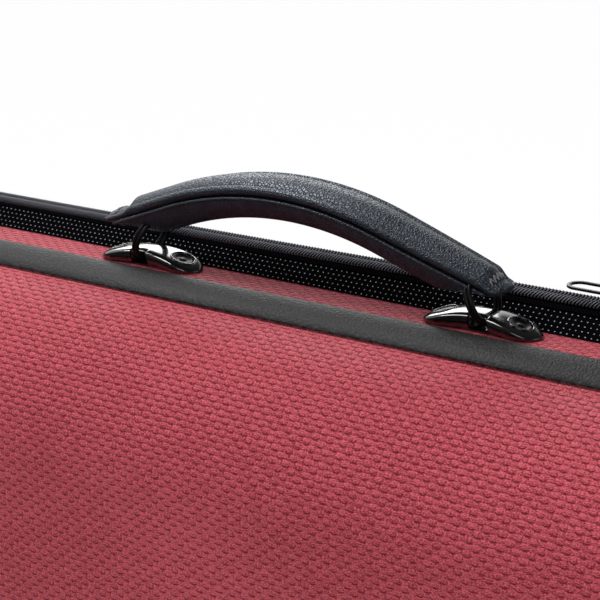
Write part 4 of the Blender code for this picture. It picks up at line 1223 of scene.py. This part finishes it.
class CASE_OT_handle(bpy.types.Operator):
    """Make the padded leather handle, its piping, its stitches and the two rings"""

    bl_idname = "case.handle"
    bl_label = "Handle"

    def execute(self, context):
        leather = black_leather()
        piece(self.panel("handle_top_leather"), leather, "handle", ["handle_panel"], 60)
        piece(self.wrap("handle_grip_leather"), leather, "handle", ["handle_wrap"], 60)
        for label, side in (("front", -1), ("rear", 1)):
            mesh = self.piping(f"handle_piping_{label}_cord", side)
            piece(mesh, leather, "handle", [f"handle_piping_{label}"], 180)
        mesh = joined("handle_stitches", self.stitches())
        piece(mesh, black_thread(), "handle", [], 180)
        mesh = joined("handle_rings", [self.ring(sign) for sign in (-1, 1)])
        piece(mesh, dark_metal(), "handle", ["handle_ring_left", "handle_ring_right"], 180)
        return {"FINISHED"}

    def arch(self, run, across, lift):
        """A point of the handle: a run along its bent top line, a distance across it and one above it."""
        settings = bpy.context.scene.case_handle
        run = run + settings.offset
        bend = max(-settings.left_bend, min(settings.right_bend, run / HANDLE_RADIUS))
        beyond = run - bend * HANDLE_RADIUS
        radius = HANDLE_RADIUS + lift
        x = radius * math.sin(bend) + beyond * math.cos(bend)
        z = radius * math.cos(bend) - beyond * math.sin(bend) - HANDLE_RADIUS
        return (settings.shift + x, BRACKET_Y + across, ARCH_TOP_Z + settings.rise + z)

    def reach(self, length):
        """The run at the end of a stretch that has the given length along X."""
        return HANDLE_RADIUS * HANDLE_BEND + (length / 2 - BEND_X) / math.cos(HANDLE_BEND)

    def runs(self, length):
        """Runs along the handle, closer together at both ends."""
        shares = np.linspace(-1, 1, ARCH_STEPS + 1)
        return self.reach(length) * (shares * 0.72 + 0.28 * np.sin(shares * math.pi / 2))

    def half_width(self, run):
        share = abs(run) / self.reach(HANDLE_LENGTH)
        return (HANDLE_WIDTH - (HANDLE_WIDTH - HANDLE_TIP_WIDTH) * share**3) / 2

    def drawn_in(self, run, length, corner):
        """How far the edge is drawn in by the rounded corner near an end."""
        left = self.reach(length) - abs(run)
        if left >= corner:
            return 0.0
        return corner - math.sqrt(max(corner**2 - (corner - left) ** 2, 0.0))

    def tab_lift(self, run, lift):
        """The height of a point of the panel, which is lower and thinner on the tabs at both ends."""
        settings = bpy.context.scene.case_handle
        tab = settings.left_tab if run < 0 else settings.right_tab
        into = soft_step((abs(run) - self.reach(HANDLE_LENGTH) + tab) / TAB_STEP)
        return PANEL_CROWN + (lift - PANEL_CROWN) * (1 - 0.40 * into) - settings.tab_drop * into

    def rolled_edge(self, side, middle, radius, inner):
        """Marks of a rolled edge from the panel's underside round to its inner seam."""
        line = [(side * 0.74, -HANDLE_PANEL)]
        for turn in np.radians(range(250, 30, -20)):
            line.append((side * (0.84 - 0.16 * math.cos(turn)), middle + radius * math.sin(turn)))
        return line + [inner]

    def panel(self, name):
        """The top panel: a crowned pad between two rolled edges, thin at both ends."""
        corner = bpy.context.scene.case_handle.corner
        front = self.rolled_edge(-1, -0.0032, 0.0015, (-0.67, -0.0021))
        rear = self.rolled_edge(1, -0.0024, 0.0024, (0.69, -0.0007))
        section = smooth_line(front + PANEL_TOP + rear[::-1])
        rows = []
        for run in self.runs(HANDLE_LENGTH):
            drawn = self.drawn_in(run, HANDLE_LENGTH, corner)
            half = self.half_width(run) - drawn
            thin = 1 - 0.30 * drawn / corner
            row = []
            for share, lift in section:
                lift = self.tab_lift(run, lift)
                row.append(self.arch(run, half * share, (lift + HANDLE_PANEL / 2) * thin - HANDLE_PANEL / 2))
            rows.append(row)
        return surface(name, rows)

    def wrap(self, name):
        """The thick padded underside with upright flanks, thinner towards both ends."""
        settings = bpy.context.scene.case_handle
        low = -HANDLE_PANEL - CLEARANCE
        rows = []
        for run in self.runs(settings.grip_length):
            drawn = self.drawn_in(run, settings.grip_length, GRIP_CORNER)
            half = self.half_width(run) - settings.flank_inset - drawn
            end = abs(run) / self.reach(settings.grip_length)
            belly = (settings.grip + low) * (1 - 0.72 * soft_step((end - 0.76) / 0.24))
            marks = [(-0.80, low)] + [
                (-math.cos(a) ** 1.15, low - belly * (0.03 + 0.97 * math.sin(a))) for a in np.radians(range(0, 90, 10))
            ] + [(0.0, low - belly)]
            marks += [(-share, lift) for share, lift in marks[-2::-1]]
            rows.append([self.arch(run, half * share, lift) for share, lift in smooth_line(marks)])
        return surface(name, rows)

    def piping(self, name, side):
        """A thin cord in the seam between the rolled edge and the flank."""
        settings = bpy.context.scene.case_handle
        radius = settings.piping
        line = [
            self.arch(run, side * (self.half_width(run) - radius * 0.9), -HANDLE_PANEL - radius * 1.1)
            for run in self.runs(settings.grip_length)
        ]
        return tube(name, line, radius, 12)

    def stitches(self):
        """A zigzag across the tab at each end."""
        wire = bpy.context.scene.case_handle.stitch_wire
        back = (0.0034, 0.0056)
        found = []
        for sign in (-1, 1):
            knots = []
            for index, share in enumerate(np.linspace(-0.62, 0.62, 10)):
                run = sign * (self.reach(HANDLE_LENGTH) - back[index % 2])
                lift = self.tab_lift(run, float(np.interp(share, *np.transpose(PANEL_TOP))))
                knots.append(self.arch(run, share * self.half_width(run), lift + wire * 0.6))
            found += [stitch(start, end, wire) for start, end in zip(knots, knots[1:])]
        return found

    def ring(self, sign):
        """A ring of two turns of wire side by side, its top leaning towards the middle of the handle."""
        lean = sign * RING_LEAN
        up = np.array((-math.sin(lean), 0, math.cos(lean)))
        axis = np.array((math.cos(lean), 0, math.sin(lean)))
        centre = np.array((sign * BRACKET_X, BRACKET_Y, RING_Z))
        round_it = RING_RADIUS * circle(np.array((0, 1, 0)), up, 72)
        wire = RING_WIRE * 0.66
        lines = [centre + axis * shift + round_it for shift in (-wire, wire)]
        return joined("ring", [tube("turn", line, wire, 14, loop=True) for line in lines])


class CASE_OT_hardware(bpy.types.Operator):
    """Give the hinges, feet, core and bow holders their finishes"""

    bl_idname = "case.hardware"
    bl_label = "Hinges, Feet and Holders"

    def execute(self, context):
        steel = bright_steel("drawn steel", (0.45, 0.45, 0.46))
        spring = bright_steel("spring steel", (0.30, 0.30, 0.32))
        finishes = {
            "hinge_leaf": dark_metal(), "hinge_pin": steel, "handle_core": spring, "base_foot": rubber_edging(),
            "lid_foot": rubber_edging(), "bow_post": coil_nylon(), "bow_turn": black_gloss(),
        }
        for name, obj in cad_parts.items():
            for start, made in finishes.items():
                if name.startswith(start):
                    for slot in obj.material_slots:
                        slot.material = made
        return {"FINISHED"}


class CASE_OT_bed(bpy.types.Operator):
    """Make the padded bed that holds the violin"""

    bl_idname = "case.bed"
    bl_label = "Bed"

    def execute(self, context):
        names = ["bed_floor"] + [f"{part}_block_{half}" for part in ("head", "bout") for half in ("upper", "lower")]
        form = joined("plush_bed_form", [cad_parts[name].data.copy() for name in names])
        made = placed("plush_bed_form", form)
        add_remesh(made, BED_VOXEL)
        soften = made.modifiers.new("soften", "SMOOTH")
        soften.factor = 0.5
        soften.iterations = 5
        mesh = applied(made, "plush_bed")
        mesh.materials.clear()
        obj = piece(mesh, lining_plush(), "base", names, 180)
        return {"FINISHED"}


class CASE_OT_pads(bpy.types.Operator):
    """Make the pads under the violin's back and the neck rest"""

    bl_idname = "case.pads"
    bl_label = "Pads and Neck Rest"

    def execute(self, context):
        for node in ("lower_pad", "upper_pad", "neck_rest"):
            self.pad(context, node)
        return {"FINISHED"}

    def pad(self, context, node):
        """A copy of the node, drawn in a little and filled by pressure."""
        inside = context.scene.case_inside
        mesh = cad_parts[node].data.copy()
        mesh.materials.clear()
        low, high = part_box(node)
        middle = (low + high) / 2
        shrink = Vector([(size - 2 * PAD_INSET) / size for size in high - low])
        for vertex in mesh.vertices:
            vertex.co = middle + (vertex.co - middle) * shrink
        form = placed(f"{node}_form", mesh)
        add_remesh(form, PAD_VOXEL)
        form = placed(f"{node}_cloth", applied(form, f"{node}_cloth"))
        rest = self.points(form)
        cloth = form.modifiers.new("fill", "CLOTH")
        cloth.settings.use_pressure = True
        cloth.settings.uniform_pressure_force = inside.pressure
        cloth.settings.effector_weights.gravity = 0.0
        for moment in range(1, CLOTH_FRAMES + 1):
            context.scene.frame_set(moment)
        form = placed(f"{node}_filled", applied(form, f"{node}_filled"))
        context.scene.frame_set(1)
        moved = self.points(form) - rest
        reach = np.linalg.norm(moved, axis=1)[:, None]
        moved *= np.minimum(1.0, inside.swell / np.maximum(reach, 1e-9))
        lowest = np.array(low) + (-PAD_ROOM, PAD_SEAT, -PAD_ROOM)
        highest = np.array(high) + (PAD_ROOM, PAD_RISE, PAD_ROOM)
        form.data.vertices.foreach_set("co", np.clip(rest + moved, lowest, highest).ravel())
        form.data.update()
        fuller = form.modifiers.new("fuller", "SUBSURF")
        fuller.levels = fuller.render_levels = 1
        mesh = applied(form, f"{node}_plush")
        mesh.materials.clear()
        obj = piece(mesh, pad_plush(), "base", [node], 180)

    def points(self, obj):
        found = np.empty(len(obj.data.vertices) * 3)
        obj.data.vertices.foreach_get("co", found)
        return found.reshape(-1, 3)


class CASE_OT_lining(bpy.types.Operator):
    """Make the lid's plush lining and the sleeves for the bows' tips"""

    bl_idname = "case.lining"
    bl_label = "Lid Lining"

    def execute(self, context):
        profile = shell_profile(LID_RIM, LID_SHOULDER)
        outer = offset_profile(profile, WALL + CLEARANCE)
        inner = offset_profile(profile, WALL + CLEARANCE + LINING)
        inner[0] = (inner[0][0], LINING_RIM)
        obj = piece(tray("lid_plush", outer, inner, LID), lining_plush(), "lid", ["lid_lining"], 70)
        for label in ("upper", "lower"):
            mesh = self.sleeve(f"bow_sleeve_{label}_cloth", *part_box(f"bow_sleeve_{label}"))
            piece(mesh, pad_plush(), "lid", [f"bow_sleeve_{label}"], 60)
        return {"FINISHED"}

    def sleeve(self, name, low, high):
        """A half-round cloth sleeve with a rolled hem at both ends."""
        middle = ((low.z + high.z) / 2, high.y)
        rows = []
        for share in np.linspace(0, 1, 41):
            hem = SLEEVE_HEM * math.exp(-((min(share, 1 - share) - 0.05) / 0.03) ** 2)
            sag = SLEEVE_SAG * math.sin(math.pi * share)
            outer = arc(middle, SLEEVE_RADIUS + hem - sag, 0, -math.pi, 24)
            inner = arc(middle, SLEEVE_RADIUS - SLEEVE_WALL - sag - hem * 0.3, -math.pi, 0, 24)
            x = low.x + (high.x - low.x) * share
            rows.append([(x, y, z) for z, y in np.concatenate([outer, inner])])
        return surface(name, rows)


class CASE_OT_pocket(bpy.types.Operator):
    """Make the pocket's flap, its pull loop and the neck strap"""

    bl_idname = "case.pocket"
    bl_label = "Pocket and Strap"

    def execute(self, context):
        mesh = self.pillow("pocket_flap_plush", *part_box("pocket_flap"), FLAP_EDGE)
        obj = piece(mesh, lining_plush(), "pocket_flap", ["pocket_flap"], 60)
        mesh = self.pillow("pocket_loop_leather", *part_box("pocket_pull_loop"), STRAP_EDGE)
        piece(mesh, black_leather(), "pocket_flap", ["pocket_pull_loop"], 60)
        mesh = self.pillow("neck_strap_leather", *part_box("neck_strap"), STRAP_EDGE)
        piece(mesh, black_leather(), "base", ["neck_strap"], 60)
        mesh = joined("neck_strap_stitches", self.stitches(*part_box("neck_strap")))
        piece(mesh, black_thread(), "base", [], 180)
        return {"FINISHED"}

    def pillow(self, name, low, high, edge):
        """A flat panel with soft rounded edges and a slightly raised middle."""
        half_x, half_z = (high.x - low.x) / 2, (high.z - low.z) / 2
        middle_x, middle_z = (high.x + low.x) / 2, (high.z + low.z) / 2
        thick = high.y - low.y
        small = min(half_x, half_z)
        turns = [(math.cos(a), math.sin(a)) for a in full_turn(96)]
        levels = [
            (small * 0.8, 0.0), (edge, 0.0), (edge * 0.3, edge * 0.3), (0.0, edge), (0.0, thick - edge * 1.3),
            (edge * 0.3, thick - edge * 0.6), (edge, thick - edge * 0.3), (edge * 3, thick - edge * 0.1),
            (small * 0.8, thick),
        ]
        rows = []
        for inset, level in levels:
            radius = max(small * 0.35 - inset, 0.0002)
            rows.append([(
                middle_x + math.copysign(half_x - inset - radius, c) + radius * c, low.y + level,
                middle_z + math.copysign(half_z - inset - radius, s) + radius * s,
            ) for c, s in turns])
        return surface(name, rows)

    def stitches(self, low, high):
        """A row of stitches along both sides of the strap."""
        wire = bpy.context.scene.case_handle.stitch_wire
        top = high.y + wire * 0.3
        return [
            stitch((x, top, z), (x, top, z + STITCH_LENGTH), wire)
            for x in (low.x + STRAP_SEAM, high.x - STRAP_SEAM)
            for z in np.arange(low.z + 0.004, high.z - 0.006, STITCH_PITCH)
        ]


class CASE_OT_stage(bpy.types.Operator):
    """Make the pale floor, the soft lamps and the camera"""

    bl_idname = "case.stage"
    bl_label = "Stage"

    def execute(self, context):
        settings = context.scene.case_stage
        self.floor(settings)
        self.world(settings)
        self.lamp("overhead", (-0.80, -0.16, 1.60), (0.0, -0.03, 0.25), (1.1, 0.8), settings.key_power)
        back = self.lamp("back", (-0.93, 1.14, 1.00), (0.0, 0.0, 0.27), (0.9, 0.8), settings.back_power)
        back.visible_diffuse = False
        self.lamp("front", (0.9, -1.7, 1.0), (0.1, -0.05, 0.2), (1.6, 1.2), settings.fill_power)
        lens = bpy.data.cameras.new("camera")
        lens.lens = settings.lens
        lens.sensor_width = 36.0
        lens.clip_start = 0.01
        camera = placed("camera", lens)
        camera.location = settings.viewpoint
        camera.rotation_euler = Vector(settings.forward).to_track_quat("-Z", "Y").to_euler()
        context.scene.camera = camera
        context.scene.view_settings.view_transform = "Standard"
        return {"FINISHED"}

    def lamp(self, name, place, aim, size, power):
        light = bpy.data.lights.new(name, "AREA")
        light.shape = "RECTANGLE"
        light.size, light.size_y = size
        light.energy = power
        obj = placed(name, light)
        obj.location = place
        obj.rotation_euler = (Vector(aim) - Vector(place)).to_track_quat("-Z", "Y").to_euler()
        return obj

    def rays(self, nodes):
        """Masks of the rays that come from the camera and from mirrors and glass."""
        path = nodes.add("LightPath").outputs
        return path["Is Camera Ray"], nodes.math("MAXIMUM", path["Is Glossy Ray"], path["Is Transmission Ray"])

    def floor(self, settings):
        """A table top in front that ends behind the base's feet, and a lower floor that leaves room for the lid."""
        table, drop, wide = settings.table, -settings.drop, 6.0
        line = [
            (-wide, 0.0), (table - 0.004, 0.0), (table - 0.001, -0.001), (table, -0.004), (table, drop), (wide, drop),
        ]
        mesh = bpy.data.meshes.new("floor")
        faces = [(k, k + 1, k + 3, k + 2) for k in range(0, 2 * len(line) - 2, 2)]
        mesh.from_pydata([(x, y, z) for y, z in line for x in (-wide, wide)], [], faces)
        mesh.materials.append(self.pale_floor(settings))
        placed("floor", turned_outward(mesh))

    def pale_floor(self, settings):
        """White to the camera and to mirrors. It keeps the shadow near the case, and is dark in front in mirrors."""
        made = bpy.data.materials.new("pale floor")
        made.use_nodes = True
        nodes = Nodes(made.node_tree)
        shader = made.node_tree.nodes["Principled BSDF"]
        nodes.put(shader.inputs["Base Color"], settings.floor_colour)
        nodes.put(shader.inputs["Roughness"], 0.9)
        camera, mirrored = self.rays(nodes)
        spot = nodes.add("NewGeometry").outputs["Position"]
        flat = nodes.stretched(spot, (0.5, 1.0, 0.0))
        away = nodes.add("VectorMath", {0: flat}, operation="LENGTH").outputs["Value"]
        seen = nodes.math("MULTIPLY", camera, nodes.smooth(away, 0.35, 0.75, 1.36, 1.03))
        behind = nodes.smooth(nodes.split(spot)[1], 0.0, 0.4, settings.reflected, 1.0)
        white = nodes.add("Emission", {"Color": (1.0, 1.0, 1.0), "Strength": nodes.math("MAXIMUM", seen, behind)})
        share = nodes.math("MULTIPLY", camera, nodes.smooth(away, 0.35, 0.75, 0.5, 0.95))
        share = nodes.math("MAXIMUM", share, nodes.math("MULTIPLY", mirrored, 0.95))
        blend = nodes.add("MixShader", {0: share, 1: shader.outputs[0], 2: white.outputs[0]})
        nodes.put(made.node_tree.nodes["Material Output"].inputs["Surface"], blend.outputs[0])
        return made

    def world(self, settings):
        """White to the camera, even light all round, and in mirrors a dark room with a backdrop and a screen."""
        world = bpy.data.worlds.new("studio")
        world.use_nodes = True
        bpy.context.scene.world = world
        nodes = Nodes(world.node_tree)
        background = world.node_tree.nodes["Background"].inputs
        camera, mirrored = self.rays(nodes)
        x, y, z = nodes.split(nodes.add("TexCoord").outputs["Generated"])
        backdrop = nodes.math("MULTIPLY", nodes.smooth(y, 0.0, 0.5), nodes.smooth(z, 0.52, 0.30))
        screen = nodes.math("MULTIPLY", nodes.smooth(x, -0.45, -0.80), nodes.smooth(z, -0.05, 0.25))
        bright = nodes.math("MAXIMUM", backdrop, nodes.math("MULTIPLY", screen, settings.screen))
        reflected = nodes.scale(bright, 0.0, 1.0, settings.reflected, 1.0)
        around = nodes.add("Mix", {0: mirrored, 2: settings.ambient, 3: reflected}).outputs[0]
        nodes.put(background["Color"], (1.0, 1.0, 1.0))
        nodes.put(background["Strength"], nodes.math("MAXIMUM", camera, around))


class CASE_PT_looks(bpy.types.Panel):
    """Lists the case's settings and the operators that build its looks"""

    bl_idname = "CASE_PT_looks"
    bl_label = "Violin Case"
    bl_space_type = "VIEW_3D"
    bl_region_type = "UI"
    bl_category = "Violin Case"

    def draw(self, context):
        for name, settings in SETTINGS.items():
            box = self.layout.box()
            box.label(text=settings.__doc__)
            group = getattr(context.scene, name)
            for key in settings.__annotations__:
                box.prop(group, key)
        for operator in OPERATORS:
            self.layout.operator(operator.bl_idname)


SETTINGS = {
    "case_cover": CaseCoverSettings,
    "case_zip": CaseZipSettings,
    "case_handle": CaseHandleSettings,
    "case_bracket": CaseBracketSettings,
    "case_inside": CaseInsideSettings,
    "case_stage": CaseStageSettings,
}
OPERATORS = (
    CASE_OT_stage, CASE_OT_covers, CASE_OT_edging, CASE_OT_zip, CASE_OT_sliders, CASE_OT_brackets, CASE_OT_handle,
    CASE_OT_hardware, CASE_OT_bed, CASE_OT_pads, CASE_OT_lining, CASE_OT_pocket,
)
CLASSES = (*SETTINGS.values(), *OPERATORS, CASE_PT_looks)


def register():
    for item in CLASSES:
        bpy.utils.register_class(item)
    for name, settings in SETTINGS.items():
        setattr(bpy.types.Scene, name, PointerProperty(type=settings))


def unregister():
    for name in SETTINGS:
        delattr(bpy.types.Scene, name)
    for item in reversed(CLASSES):
        bpy.utils.unregister_class(item)


def main():
    register()
    for operator in OPERATORS:
        group, name = operator.bl_idname.split(".")
        getattr(getattr(bpy.ops, group), name)()


if __name__ == "__main__":
    main()
